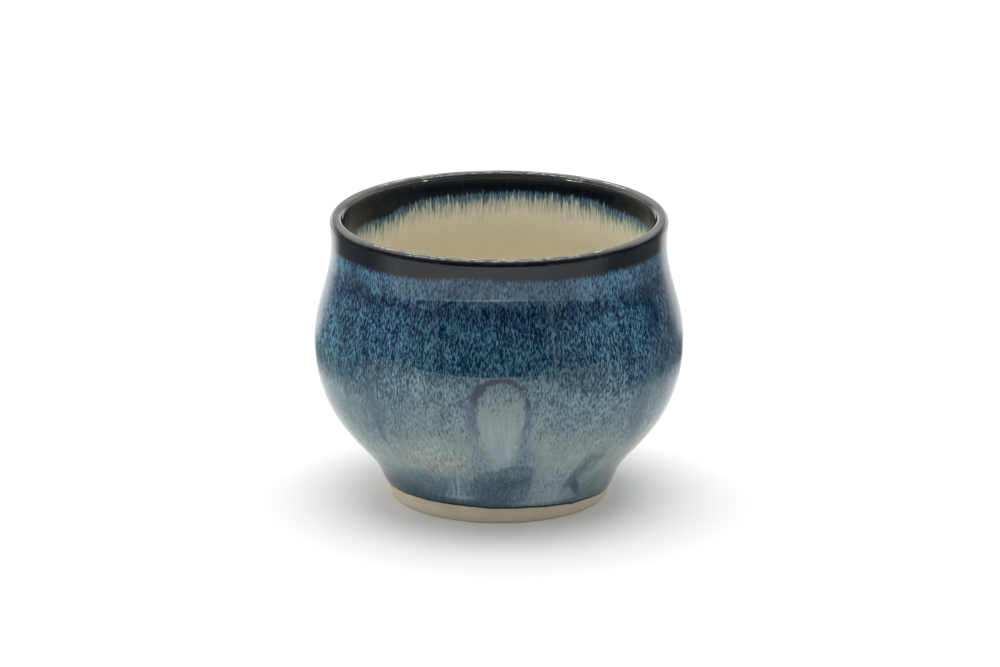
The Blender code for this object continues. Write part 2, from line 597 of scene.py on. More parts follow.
def turning_tree() -> bpy.types.NodeTree:
    """The Geometry Nodes tree that turns a section round +Z.

    Column by column, each point of the section is carried round the axis. Throwing rings and a slow
    drift move every layer alike along the contour's normal, so that the coats never cut each other,
    and the hem's waver slides the glaze's lower edge up and down the foot.

    Returns:
        The tree.
    """
    tree, g, given, leave = new_group(
        "GeometryNodeTree", "Turned Shell",
        [("Geometry", "Geometry"), ("Segments", "Int"), ("Ring Depth", "Float"),
         ("Ring Pitch", "Float"), ("Drift", "Float"), ("Hem Tilt", "Float"),
         ("Hem Waver", "Float"), ("Drip Angle", "Float"), ("Drip Drop", "Float"),
         ("Seed", "Float"), ("Material", "Material")],
        [("Geometry", "Geometry")])
    section = given["Geometry"]
    count = g.call("GeometryNodeAttributeDomainSize", "Point Count", {"Geometry": section})
    columns = given["Segments"] + 1.0
    grid = g.call("GeometryNodeMeshGrid", "Mesh",
                  {"Size X": 1.0, "Size Y": 1.0, "Vertices X": columns, "Vertices Y": count})
    index = g.call("GeometryNodeInputIndex", "Index", {})
    column = g.math("FLOOR", (index + 0.5) / count)
    row = index - column * count
    angle = column / given["Segments"] * (2 * math.pi)

    def read(source: Value, form: str) -> Value:
        """A value of the section's own point for each row of the grid."""
        return g.call("GeometryNodeSampleIndex", "Value",
                      {"Geometry": section, "Value": source, "Index": row},
                      data_type=form, domain="POINT")

    def named(name: str, form: str) -> Value:
        """A named attribute of the section."""
        return g.call("GeometryNodeInputNamedAttribute", "Attribute", {"Name": name},
                      data_type=form)

    radius, _, height = g.separate(
        read(g.call("GeometryNodeInputPosition", "Position", {}), "FLOAT_VECTOR"))
    out_r, _, out_z = g.separate(read(named("outward", "FLOAT_VECTOR"), "FLOAT_VECTOR"))
    reach = read(named("reach", "FLOAT"), "FLOAT")
    hem = read(named("hem", "FLOAT"), "FLOAT")
    sine, cosine = g.math("SINE", angle), g.math("COSINE", angle)
    flow = g.combine(sine * FLOW_RADIUS, cosine * -FLOW_RADIUS, reach)

    turns = reach / given["Ring Pitch"] + angle / (2 * math.pi)
    ring = g.math("SINE", turns * (2 * math.pi)) * given["Ring Depth"]
    uneven = g.noise(g.vector("MULTIPLY", flow, (0.02, 0.02, 0.05)), 1.0, 0.5, given["Seed"])
    ring = ring * (1.0 + uneven * 2.0)
    drift = g.noise(g.vector("MULTIPLY", flow, (0.03, 0.03, 0.045)), 0.5, 0.4, given["Seed"]
                    + 7.0) * given["Drift"]
    push = (ring + drift) * MM

    waver = g.noise(g.vector("MULTIPLY", flow, (0.12, 0.12, 0.0)), 2.0, 0.55, given["Seed"] + 3.0)
    tilt = g.math("COSINE", angle + math.radians(35.0)) * given["Hem Tilt"]
    off_drip = (angle - given["Drip Angle"]) / math.radians(1.6)
    drip = g.math("EXPONENT", off_drip * off_drip * -1.0) * given["Drip Drop"]
    slide = tilt + waver * given["Hem Waver"]
    slide = (slide - drip) * (hem * MM)

    new_r = radius + out_r * push + out_z * -1.0 * slide
    new_z = height + out_z * push + out_r * slide
    place = g.combine(new_r * sine, new_r * cosine * -1.0, new_z)
    shell = g.call("GeometryNodeStoreNamedAttribute", "Geometry",
                   {"Geometry": grid, "Name": "flow", "Value": flow},
                   data_type="FLOAT_VECTOR", domain="POINT")
    shell = g.call("GeometryNodeSetPosition", "Geometry", {"Geometry": shell, "Position": place})
    shell = g.call("GeometryNodeMergeByDistance", "Geometry",
                   {"Geometry": shell, "Distance": 1e-7})
    shell = g.call("GeometryNodeFlipFaces", "Mesh", {"Mesh": shell})
    shell = g.call("GeometryNodeSetShadeSmooth", "Geometry", {"Geometry": shell})
    shell = g.call("GeometryNodeRealizeInstances", "Geometry", {"Geometry": shell})
    shell = g.call("GeometryNodeSetMaterial", "Geometry",
                   {"Geometry": shell, "Material": given["Material"]})
    g.feed(leave.inputs[0], shell)
    return tree


@dataclass
class Turner:
    """Turns sections into pieces with the one shared tree."""

    tree: bpy.types.NodeTree
    segments: int = 256
    ring_pitch: float = 4.6
    drift: float = 0.10
    hem_tilt: float = 1.8
    hem_waver: float = 0.9
    drip_angle: float = math.radians(39.5)
    drip_drop: float = 0.45
    seed: float = 11.0

    def turn(self, name: str, section: Section, material: bpy.types.Material, closed: bool,
             ring_depth: float) -> bpy.types.Object:
        """Turn one section into a plain mesh object.

        Args:
            name: The piece's name.
            section: Its section.
            material: Its finish.
            closed: Whether the section is a ring clear of the axis.
            ring_depth: Height of the throwing rings, in millimetres.

        Returns:
            The finished object, with no modifier left on it.
        """
        piece = bpy.data.objects.new(name, section.mesh(name + "_section", closed))
        bpy.context.scene.collection.objects.link(piece)
        modifier = piece.modifiers.new("Turn", "NODES")
        modifier.node_group = self.tree
        values = {
            "Segments": self.segments, "Ring Depth": ring_depth, "Ring Pitch": self.ring_pitch,
            "Drift": self.drift, "Hem Tilt": self.hem_tilt, "Hem Waver": self.hem_waver,
            "Drip Angle": self.drip_angle, "Drip Drop": self.drip_drop, "Seed": self.seed,
            "Material": material,
        }
        for item in self.tree.interface.items_tree:
            if item.in_out == "INPUT" and item.name in values:
                modifier[item.identifier] = values[item.name]
        seen = piece.evaluated_get(bpy.context.evaluated_depsgraph_get())
        mesh = bpy.data.meshes.new_from_object(seen)
        mesh.name = name
        piece.modifiers.clear()
        piece.data = mesh
        mesh.set_sharp_from_angle(angle=math.radians(40.0))
        return piece


# ---------------------------------------------------------------------------------------------
# Shared glaze effects
# ---------------------------------------------------------------------------------------------


class Effects:
    """Shader node groups that more than one finish uses, each built once."""

    def __init__(self) -> None:
        """Build every group."""
        self.place = self.build_place()
        self.fleck = self.build_fleck()
        self.ragged = self.build_ragged()
        self.patch = self.build_patch()
        self.arch = self.build_arch()
        self.speck = self.build_speck()

    @staticmethod
    def build_place() -> bpy.types.NodeTree:
        """Angle round the cup in degrees, 0 at the front and rising to its right, and height in mm.

        Returns:
            The group.
        """
        tree, g, given, leave = new_group(
            "ShaderNodeTree", "Cup Place", [("Object", "Vector")],
            [("Angle", "Float"), ("Height", "Float")])
        x, y, z = g.separate(given["Object"])
        angle = g.math("ARCTAN2", x, y * -1.0)
        g.feed(leave.inputs["Angle"], g.math("DEGREES", angle))
        g.feed(leave.inputs["Height"], z / MM)
        return tree

    @staticmethod
    def build_fleck() -> bpy.types.NodeTree:
        """Rutile flecks: short streaks drawn out down the wall, by size and cover.

        Returns:
            The group.
        """
        tree, g, given, leave = new_group(
            "ShaderNodeTree", "Rutile Fleck",
            [("Flow", "Vector"), ("Width", "Float"), ("Length", "Float"), ("Cover", "Float"),
             ("Softness", "Float"), ("Seed", "Float")],
            [("Mask", "Float")])
        size = g.combine(given["Width"], given["Width"], given["Length"])
        at = g.vector("DIVIDE", given["Flow"], size)
        warp = g.noise(g.vector("MULTIPLY", at, (0.5, 0.5, 0.35)), 1.0, 0.5, given["Seed"])
        at = g.vector("ADD", at, g.combine(warp * 1.6, 0.0, warp * 0.8))
        value = g.noise(at, 1.6, 0.55, given["Seed"] + 5.0)
        level = value + (given["Cover"] - 0.5) * 0.52
        g.feed(leave.inputs["Mask"], g.step(level, given["Softness"] * -1.0, given["Softness"]))
        return tree

    @staticmethod
    def build_ragged() -> bpy.types.NodeTree:
        """A boundary across the wall, broken up into fine runs: 0 below it and 1 above.

        Returns:
            The group.
        """
        tree, g, given, leave = new_group(
            "ShaderNodeTree", "Ragged Line",
            [("Flow", "Vector"), ("Height", "Float"), ("Line", "Float"), ("Wander", "Float"),
             ("Streak", "Float"), ("Width", "Float"), ("Softness", "Float"), ("Seed", "Float")],
            [("Mask", "Float")])
        slow = g.noise(g.vector("MULTIPLY", given["Flow"], (0.07, 0.07, 0.0)), 2.0, 0.5,
                       given["Seed"])
        size = g.combine(given["Width"], given["Width"], given["Width"] * 9.0)
        fine = g.noise(g.vector("DIVIDE", given["Flow"], size), 2.0, 0.6, given["Seed"] + 2.0)
        line = given["Line"] + slow * given["Wander"]
        line = line + fine * given["Streak"]
        g.feed(leave.inputs["Mask"], g.step(given["Height"] - line, given["Softness"] * -1.0,
                                            given["Softness"]))
        return tree

    @staticmethod
    def build_patch() -> bpy.types.NodeTree:
        """A soft oval on the wall, which may lean and whose edge strays by a given noise.

        Returns:
            The group.
        """
        tree, g, given, leave = new_group(
            "ShaderNodeTree", "Glaze Patch",
            [("Angle", "Float"), ("Height", "Float"), ("Stray", "Float"),
             ("Centre Angle", "Float"), ("Centre Height", "Float"), ("Half Angle", "Float"),
             ("Half Height", "Float"), ("Lean", "Float"), ("Softness", "Float"),
             ("Wander", "Float")],
            [("Mask", "Float")])
        rise = given["Height"] - given["Centre Height"]
        turn = given["Angle"] - given["Centre Angle"]
        turn = turn - rise * given["Lean"]
        across = turn / given["Half Angle"]
        up = rise / given["Half Height"]
        far = g.math("SQRT", across * across + up * up)
        far = far + given["Stray"] * given["Wander"]
        mask = g.step(far, 1.0 - given["Softness"], 1.0 + given["Softness"])
        g.feed(leave.inputs["Mask"], 1.0 - mask)
        return tree

    @staticmethod
    def build_arch() -> bpy.types.NodeTree:
        """A run shaped like an arch: its outline, its inside, and the inside narrowing downward.

        Returns:
            The group.
        """
        tree, g, given, leave = new_group(
            "ShaderNodeTree", "Arched Run",
            [("Angle", "Float"), ("Height", "Float"), ("Stray", "Float"),
             ("Centre Angle", "Float"), ("Half Angle", "Float"), ("Spring", "Float"),
             ("Crown", "Float"), ("Taper Start", "Float"), ("Taper End", "Float"),
             ("Line", "Float")],
            [("Outline", "Float"), ("Inside", "Float")])
        taper = g.step(given["Height"], given["Taper End"], given["Taper Start"])
        width = given["Half Angle"] * (0.25 + taper * 0.75)
        across = (given["Angle"] - given["Centre Angle"]) / width
        over = g.math("MAXIMUM", given["Height"] - given["Spring"], 0.0)
        over = over / (given["Crown"] - given["Spring"])
        far = g.math("SQRT", across * across + over * over)
        far = far + given["Stray"] * 0.3
        off = abs(far - 1.0) / given["Line"]
        g.feed(leave.inputs["Outline"], 1.0 - g.step(off, 0.3, 1.3))
        g.feed(leave.inputs["Inside"], 1.0 - g.step(far, 0.86, 1.02))
        return tree

    @staticmethod
    def build_speck() -> bpy.types.NodeTree:
        """Sparse small spots, by spacing and size in millimetres.

        Returns:
            The group.
        """
        tree, g, given, leave = new_group(
            "ShaderNodeTree", "Speck",
            [("Flow", "Vector"), ("Spacing", "Float"), ("Size", "Float"), ("Share", "Float")],
            [("Mask", "Float")])
        at = g.vector("DIVIDE", given["Flow"], g.combine(given["Spacing"], given["Spacing"],
                                                         given["Spacing"]))
        cell = g.node("ShaderNodeTexVoronoi", voronoi_dimensions="3D")
        g.feed(cell.inputs["Vector"], at)
        g.feed(cell.inputs["Scale"], 1.0)
        chance, _, _ = g.separate(cell.outputs["Color"])
        near = cell.outputs["Distance"] * given["Spacing"]
        spot = 1.0 - g.step(near, given["Size"] * 0.5, given["Size"])
        chosen = g.math("LESS_THAN", chance, given["Share"])
        g.feed(leave.inputs["Mask"], spot * chosen)
        return tree


class Surface:
    """One material under construction: its graph, its place on the cup and its shader."""

    def __init__(self, name: str, effects: Effects) -> None:
        """Start a material.

        Args:
            name: The material's name.
            effects: The shared groups.
        """
        self.material = bpy.data.materials.new(name)
        self.material.use_nodes = True
        tree = self.material.node_tree
        self.shader = tree.nodes["Principled BSDF"]
        self.shader.location = (3600, 0)
        tree.nodes["Material Output"].location = (3900, 0)
        self.graph = Graph(tree)
        self.effects = effects
        coordinates = self.graph.node("ShaderNodeTexCoord")
        self.flow = self.graph.call("ShaderNodeAttribute", "Vector", {}, attribute_name="flow")
        where = self.graph.group(effects.place, Object=coordinates.outputs["Object"])
        self.angle, self.height = where["Angle"], where["Height"]
        self.hair = self.noise(0.35, 1.6, 2.0, 20.0)

    def scaled(self, across: float, along: float) -> Value:
        """The running coordinate in units of a feature's size, in millimetres."""
        return self.graph.vector("MULTIPLY", self.flow, (1 / across, 1 / across, 1 / along))

    def noise(self, across: float, along: float, detail: float = 2.0, seed: float = 0.0,
              roughness: float = 0.5) -> Value:
        """Noise drawn out along the flow, centred on zero."""
        return self.graph.noise(self.scaled(across, along), detail, roughness, seed)

    def by_angle(self, points: Sequence[tuple[float, float]]) -> Value:
        """A value read off a curve round the cup, which meets itself at the back."""
        share = self.angle / 360.0 + 0.5
        return self.graph.curve(share, points)

    def patch(self, mark: "GlazeMark", stray: Value) -> Value:
        """The mask of one mark on the wall."""
        return self.graph.group(
            self.effects.patch, Angle=self.angle, Height=self.height, Stray=stray,
            Centre_Angle=mark.angle, Centre_Height=mark.height, Half_Angle=mark.half_angle,
            Half_Height=mark.half_height, Lean=mark.lean, Softness=mark.softness,
            Wander=mark.wander)["Mask"]

    def ragged(self, line: object, wander: float, streak: float, width: float, softness: float,
               seed: float) -> Value:
        """A ragged line across the wall: 0 below it and 1 above."""
        return self.graph.group(self.effects.ragged, Flow=self.flow, Height=self.height, Line=line,
                                Wander=wander, Streak=streak, Width=width, Softness=softness,
                                Seed=seed)["Mask"]

    def fleck(self, width: float, length: float, cover: object, softness: float,
              seed: float) -> Value:
        """Rutile flecks of a size and cover."""
        return self.graph.group(self.effects.fleck, Flow=self.flow, Width=width, Length=length,
                                Cover=cover, Softness=softness, Seed=seed)["Mask"]

    def speck(self, spacing: float, size: float, share: float) -> Value:
        """Sparse small spots."""
        return self.graph.group(self.effects.speck, Flow=self.flow, Spacing=spacing, Size=size,
                                Share=share)["Mask"]

    def tint(self, base: object, colour: object, mask: Value, strength: float = 1.0) -> Value:
        """Blend a colour in where a mask is set."""
        factor = mask if strength == 1.0 else mask * strength
        return self.graph.mix(factor, base, colour)

    def bump(self, height: Value, distance: float) -> None:
        """Feed the shader's normal from a height in units of a distance."""
        normal = self.graph.call("ShaderNodeBump", "Normal",
                                 {"Height": height, "Distance": distance, "Strength": 1.0})
        self.graph.feed(self.shader.inputs["Normal"], normal)

    def finish(self, colour: object, roughness: object, **constants: float) -> bpy.types.Material:
        """Wire the shader and set what is the same all over.

        Args:
            colour: Base colour.
            roughness: Roughness.
            **constants: Plain values by input name, with underscores for spaces.

        Returns:
            The material.
        """
        self.graph.feed(self.shader.inputs["Base Color"], colour)
        self.graph.feed(self.shader.inputs["Roughness"], roughness)
        for name, value in constants.items():
            self.shader.inputs[name.replace("_", " ")].default_value = value
        return self.material


# ---------------------------------------------------------------------------------------------
# Finishes
# ---------------------------------------------------------------------------------------------


def srgb(red: int, green: int, blue: int) -> Colour:
    """A linear colour from 0 to 255 display values."""
    return tuple((v / 255 / 12.92) if v <= 10 else ((v / 255 + 0.055) / 1.055) ** 2.4
                 for v in (red, green, blue))


@dataclass(frozen=True)
class ClayFinish:
    """Bare buff stoneware, turned and sponged: dry, with grit and fine turning lines."""

    buff: Colour = srgb(190, 181, 161)
    toasted: Colour = srgb(168, 151, 123)
    grit: Colour = srgb(150, 137, 114)
    roughness: float = 0.78

    def material(self, effects: Effects) -> bpy.types.Material:
        """Build the material.

        Args:
            effects: The shared groups.

        Returns:
            The material.
        """
        s = Surface("bare_clay", effects)
        g = s.graph
        cloud = s.noise(9.0, 5.0, 3.0, 1.0)
        colour = s.tint(self.buff, self.toasted, g.step(cloud, -0.25, 0.4), 0.35)
        lines = s.noise(60.0, 0.35, 3.0, 2.0, 0.6)
        colour = s.tint(colour, self.toasted, g.step(lines, 0.02, 0.3), 0.3)
        grain = s.noise(0.3, 0.3, 2.0, 3.0)
        colour = s.tint(colour, self.grit, g.step(grain, 0.12, 0.3), 0.45)
        blush = g.step(s.height, 2.0, 5.0) * g.step(cloud, -0.3, 0.3)
        colour = s.tint(colour, self.toasted, blush, 0.5)
        # Painted contact shade: the clay is darkened with the grit colour towards the bottom edge
        # of the foot, where it meets the floor.
        painted_contact_shade = 1.0 - g.step(s.height, 0.0, 2.6)
        colour = s.tint(colour, self.grit, painted_contact_shade, 0.22)
        ridge = lines + grain * 0.5
        s.bump(ridge, 0.06 * MM)
        return s.finish(colour, grain * 0.15 + self.roughness)


@dataclass(frozen=True)
class DarkFinish:
    """Blue-black gloss glaze, with a trace of blue fleck, breaking to brown on the lip."""

    body: Colour = (0.0035, 0.0056, 0.0092)
    fleck: Colour = (0.012, 0.024, 0.042)
    break_brown: Colour = (0.045, 0.036, 0.026)
    roughness: float = 0.055
    lip_height: float = 76.9

    def colour(self, s: Surface) -> Value:
        """The glaze's colour, which the other coats fade into at the rim."""
        drift = s.noise(1.1, 4.5, 2.0, 21.0)
        return s.tint(self.body, self.fleck, s.graph.step(drift, 0.02, 0.25), 0.5)

    def material(self, effects: Effects) -> bpy.types.Material:
        """Build the material.

        Args:
            effects: The shared groups.

        Returns:
            The material.
        """
        s = Surface("dark_glaze", effects)
        g = s.graph
        colour = self.colour(s)
        thin = g.step(s.height, self.lip_height, self.lip_height
                      + 1.0) * g.step(s.noise(3.0, 1.2, 3.0, 22.0), -0.3, 0.25)
        colour = s.tint(colour, self.break_brown, thin, 0.9)
        s.bump(s.noise(4.0, 3.0, 1.0, 23.0), 0.006 * MM)
        return s.finish(colour, thin * 0.05 + self.roughness)


@dataclass(frozen=True)
class GlazeMark:
    """A soft oval of colour at a place on the wall: a pool, a run or a light streak.

    Angles are in degrees from the front and heights in millimetres; lean is how many degrees the
    mark moves over for each millimetre up.
    """

    angle: float
    height: float
    half_angle: float
    half_height: float
    colour: Colour
    strength: float = 1.0
    lean: float = 0.0
    softness: float = 0.4
    wander: float = 0.8

    @property
    def pale(self) -> bool:
        """Whether the mark is one of the light, smooth ones."""
        return self.colour[1] > 0.4


@dataclass(frozen=True)
class ArchMark:
    """The arch-shaped run at the front, where the glaze split round a thick drop."""

    angle: float = 0.5
    half_angle: float = 8.3
    spring: float = 39.5
    crown: float = 46.6
    taper_start: float = 37.0
    taper_end: float = 20.0
    line: float = 0.118
    dark: Colour = (0.016, 0.030, 0.060)
    faded: Colour = (0.085, 0.145, 0.215)
    shoulder: GlazeMark = GlazeMark(-7.0, 42.2, 3.4, 2.6, (0.0, 0.0, 0.0), softness=0.6)


@dataclass(frozen=True)
class BlueFinish:
    """Streaked rutile blue over navy, breaking to pale celadon down the wall, with its runs.

    The streaks and the ground between them each have a colour by height, and the cover is the
    share of the wall that the streaks take up.
    """

    dark: DarkFinish
    span: float = 80.0  # heights are read as a share of this
    rim_line: float = 72.2
    rim_dip: tuple = (  # the dark rim's lower edge by angle, 0.1 for each mm; 0.5 is none
        (0.0, 0.5), (0.30, 0.39), (0.42, 0.42), (0.47, 0.55), (0.53, 0.51), (0.56, 0.465),
        (0.66, 0.44), (1.0, 0.5))
    # In both ramps the drop between 46.8 and 48.4 mm is partly the glaze's own change and partly a
    # painted reflection: it sharpens the line where the gloss turns from the lit floor to the dark
    # front of the room.
    light: tuple = (
        (0, (0.140, 0.215, 0.260)), (9, (0.150, 0.225, 0.265)), (15, (0.210, 0.285, 0.300)),
        (22, (0.262, 0.325, 0.318)), (29, (0.235, 0.305, 0.300)), (35, (0.195, 0.270, 0.280)),
        (41, (0.160, 0.248, 0.274)), (46.8, (0.150, 0.248, 0.280)), (48.4, (0.095, 0.200, 0.252)),
        (54, (0.075, 0.176, 0.240)), (60, (0.072, 0.170, 0.242)), (63.5, (0.052, 0.120, 0.190)),
        (66.5, (0.068, 0.142, 0.202)), (70, (0.072, 0.154, 0.222)), (74, (0.058, 0.138, 0.215)))
    deep: tuple = (
        (0, (0.030, 0.065, 0.100)), (9, (0.055, 0.105, 0.155)), (15, (0.110, 0.185, 0.220)),
        (22, (0.100, 0.172, 0.200)), (29, (0.046, 0.113, 0.148)), (35, (0.020, 0.080, 0.126)),
        (41, (0.010, 0.058, 0.104)), (46.8, (0.003, 0.038, 0.085)), (48.4, (0.001, 0.024, 0.064)),
        (54, (0.0003, 0.013, 0.044)), (60, (0.0003, 0.012, 0.044)), (63.5, (0.0005, 0.008, 0.028)),
        (66.5, (0.001, 0.018, 0.052)), (70, (0.002, 0.024, 0.064)), (74, (0.002, 0.016, 0.048)))
    cover: tuple = ((0.0, 0.8), (0.19, 0.90), (0.28, 0.85), (0.36, 0.70), (0.44, 0.60),
                    (0.51, 0.54), (0.575, 0.52), (0.61, 0.43), (0.68, 0.42), (0.75, 0.42),
                    (0.79, 0.38), (0.84, 0.52), (0.90, 0.50), (1.0, 0.4))
    strength: float = 0.84
    mark_strength: float = 0.86
    # the colour that the wall darkens to just above the hem
    hem_darkening: Colour = (0.028, 0.062, 0.088)
    settle: tuple = (  # millimetres that the pattern has slipped, by angle; 0.5 is none
        (0.0, 0.56), (0.12, 0.42), (0.25, 0.62), (0.31, 0.57), (0.36, 0.63), (0.395, 0.59),
        (0.43, 0.52), (0.46, 0.52), (0.5, 0.50), (0.54, 0.51), (0.57, 0.57), (0.605, 0.58),
        (0.64, 0.635), (0.68, 0.62), (0.75, 0.56), (0.88, 0.46), (1.0, 0.56))
    tone: tuple = (  # brightness of the upper wall by angle; 0.5 is plain
        (0.0, 0.5), (0.25, 0.75), (0.305, 0.86), (0.34, 0.70), (0.39, 0.70), (0.43, 0.55),
        (0.46, 0.46), (0.5, 0.45), (0.54, 0.46), (0.57, 0.55), (0.605, 0.71), (0.64, 0.68),
        (0.68, 0.50), (0.75, 0.50), (0.88, 0.55), (1.0, 0.5))
    arch: ArchMark = ArchMark()
    marks: tuple = (
        # runs high on the wall
        GlazeMark(-42.6, 34.0, 1.7, 9.5, (0.020, 0.075, 0.145), 0.75, -0.10, 0.6, 1.2),
        GlazeMark(-55.5, 35.0, 1.6, 7.5, (0.020, 0.080, 0.120), 0.60, 0.15, 0.7, 1.2),
        GlazeMark(50.5, 31.0, 3.6, 8.0, (0.055, 0.115, 0.180), 0.70, -0.10, 0.7, 1.2),
        GlazeMark(58.5, 61.0, 4.0, 10.0, (0.004, 0.020, 0.055), 0.55, 0.0, 0.8, 1.0),
        GlazeMark(-57.5, 67.5, 5.0, 5.0, (0.004, 0.022, 0.055), 0.45, 0.0, 0.9, 1.4),
        GlazeMark(-60.0, 34.0, 24.0, 9.0, (0.085, 0.160, 0.190), 0.52, 0.0, 0.9, 1.6),
        GlazeMark(57.0, 37.0, 7.0, 6.0, (0.065, 0.135, 0.180), 0.62, 0.0, 0.9, 1.6),
        # the arch's legs, which run on as slate blue
        GlazeMark(-8.4, 35.5, 1.5, 4.6, (0.085, 0.140, 0.215), 0.75, -0.05, 0.7, 1.0),
        GlazeMark(8.6, 33.0, 1.2, 5.0, (0.095, 0.155, 0.235), 0.70, 0.05, 0.7, 1.0),
        GlazeMark(8.2, 26.0, 1.9, 5.5, (0.130, 0.205, 0.285), 0.65, 0.10, 0.7, 1.0),
        GlazeMark(-7.2, 25.0, 1.8, 4.5, (0.150, 0.235, 0.295), 0.55, -0.30, 0.7, 1.0),
        # the pale apron between the runs
        GlazeMark(-22.0, 21.5, 15.0, 5.5, (0.315, 0.385, 0.372), 0.75, 0.0, 0.5, 0.9),
        GlazeMark(32.0, 26.0, 10.0, 2.6, (0.250, 0.315, 0.305), 0.65, 0.25, 0.7, 1.4),
        # the pool under the arch
        GlazeMark(-6.8, 19.5, 4.2, 5.0, (0.170, 0.262, 0.312), 0.75, -0.2, 0.6, 1.3),
        GlazeMark(8.6, 20.5, 4.2, 5.5, (0.135, 0.228, 0.292), 0.80, 0.1, 0.6, 1.3),
        GlazeMark(3.2, 25.5, 0.8, 6.0, (0.380, 0.480, 0.520), 0.60, 0.0, 0.7, 1.0),
        GlazeMark(0.3, 11.6, 13.8, 7.4, (0.098, 0.168, 0.228), 0.95, 0.22, 0.12, 0.8),
        GlazeMark(6.5, 16.5, 7.6, 4.0, (0.098, 0.168, 0.228), 0.90, 0.10, 0.16, 0.8),
        GlazeMark(-8.0, 8.5, 9.0, 3.4, (0.090, 0.160, 0.220), 0.85, -0.5, 0.4, 0.9),
        GlazeMark(1.0, 12.3, 9.5, 3.0, (0.046, 0.098, 0.152), 0.80, 0.0, 0.6, 1.9),
        GlazeMark(7.5, 13.6, 4.2, 1.8, (0.030, 0.070, 0.118), 0.65, 0.8, 0.7, 1.9),
        GlazeMark(1.0, 7.6, 11.0, 1.5, (0.060, 0.112, 0.158), 0.60, 0.0, 0.7, 1.2),
        GlazeMark(9.5, 9.0, 4.0, 3.2, (0.150, 0.240, 0.285), 0.60, 0.0, 0.7, 1.0),
        # the pool to its left
        GlazeMark(-29.0, 10.6, 9.5, 4.8, (0.090, 0.178, 0.242), 0.88, 0.10, 0.6, 1.6),
        GlazeMark(-16.0, 11.5, 3.4, 5.0, (0.150, 0.245, 0.310), 0.80, 0.35, 0.5, 0.8),
        GlazeMark(-19.6, 11.8, 1.1, 4.4, (0.040, 0.095, 0.150), 0.75, 0.42, 0.8, 0.8),
        GlazeMark(-20.8, 10.4, 0.70, 3.4, (0.340, 0.460, 0.520), 0.70, 0.36, 0.9, 0.7),
        GlazeMark(-18.0, 12.2, 0.70, 5.0, (0.360, 0.480, 0.540), 0.75, 0.34, 0.9, 0.7),
        GlazeMark(-24.0, 9.6, 0.70, 2.6, (0.240, 0.350, 0.430), 0.55, 0.9, 0.9, 0.7),
        GlazeMark(-18.0, 8.0, 5.6, 0.55, (0.340, 0.450, 0.500), 0.70, 0.02, 0.9, 0.9),
        # the thin pale run to its right and the eddy beside it
        GlazeMark(23.5, 9.5, 9.3, 9.5, (0.265, 0.365, 0.395), 0.95, 0.0, 0.25, 0.5),
        GlazeMark(25.0, 8.0, 9.0, 2.0, (0.320, 0.430, 0.465), 0.70, 0.0, 0.7, 0.8),
        GlazeMark(36.0, 16.5, 5.6, 5.6, (0.150, 0.225, 0.250), 0.85, 0.1, 0.35, 0.7),
        GlazeMark(33.0, 14.0, 2.6, 5.6, (0.080, 0.150, 0.200), 0.85, 0.35, 0.45, 0.6),
        GlazeMark(38.5, 19.8, 5.0, 1.5, (0.090, 0.150, 0.200), 0.75, -1.1, 0.6, 0.6),
        GlazeMark(24.0, 6.3, 13.0, 0.50, (0.360, 0.470, 0.510), 0.65, 0.0, 0.9, 0.6),
        GlazeMark(37.2, 9.8, 2.4, 3.4, (0.030, 0.080, 0.115), 0.95, -1.15, 0.45, 0.6),
        # the grey-green corner
        GlazeMark(62.0, 8.6, 20.0, 4.4, (0.120, 0.205, 0.182), 0.85, 0.0, 0.3, 0.5),
        GlazeMark(56.0, 15.5, 9.0, 2.6, (0.220, 0.295, 0.290), 0.50, -0.6, 0.6, 0.8),
        # the dark foot of the left side
        GlazeMark(-46.0, 10.0, 15.0, 4.6, (0.060, 0.130, 0.175), 0.80, 0.0, 0.6, 1.4),
        GlazeMark(-60.0, 6.4, 29.0, 4.0, (0.026, 0.070, 0.105), 0.92, 0.0, 0.5, 0.8),
        GlazeMark(-29.0, 5.5, 26.0, 1.5, (0.022, 0.050, 0.072), 0.85, 0.0, 0.7, 0.6),
        # the back
        GlazeMark(110.0, 11.0, 17.0, 6.5, (0.080, 0.160, 0.215), 0.85, 0.15, 0.35, 0.8),
        GlazeMark(152.0, 10.0, 13.0, 5.5, (0.060, 0.125, 0.185), 0.85, -0.2, 0.35, 0.8),
        GlazeMark(-118.0, 11.0, 15.0, 6.0, (0.070, 0.145, 0.200), 0.85, 0.2, 0.35, 0.8),
        GlazeMark(-158.0, 9.0, 12.0, 5.0, (0.100, 0.180, 0.230), 0.80, 0.0, 0.4, 0.8),
        GlazeMark(132.0, 32.0, 2.2, 10.0, (0.025, 0.085, 0.150), 0.60, 0.1, 0.7, 1.2),
        GlazeMark(-140.0, 34.0, 2.4, 9.0, (0.025, 0.085, 0.150), 0.60, -0.1, 0.7, 1.2),
    )

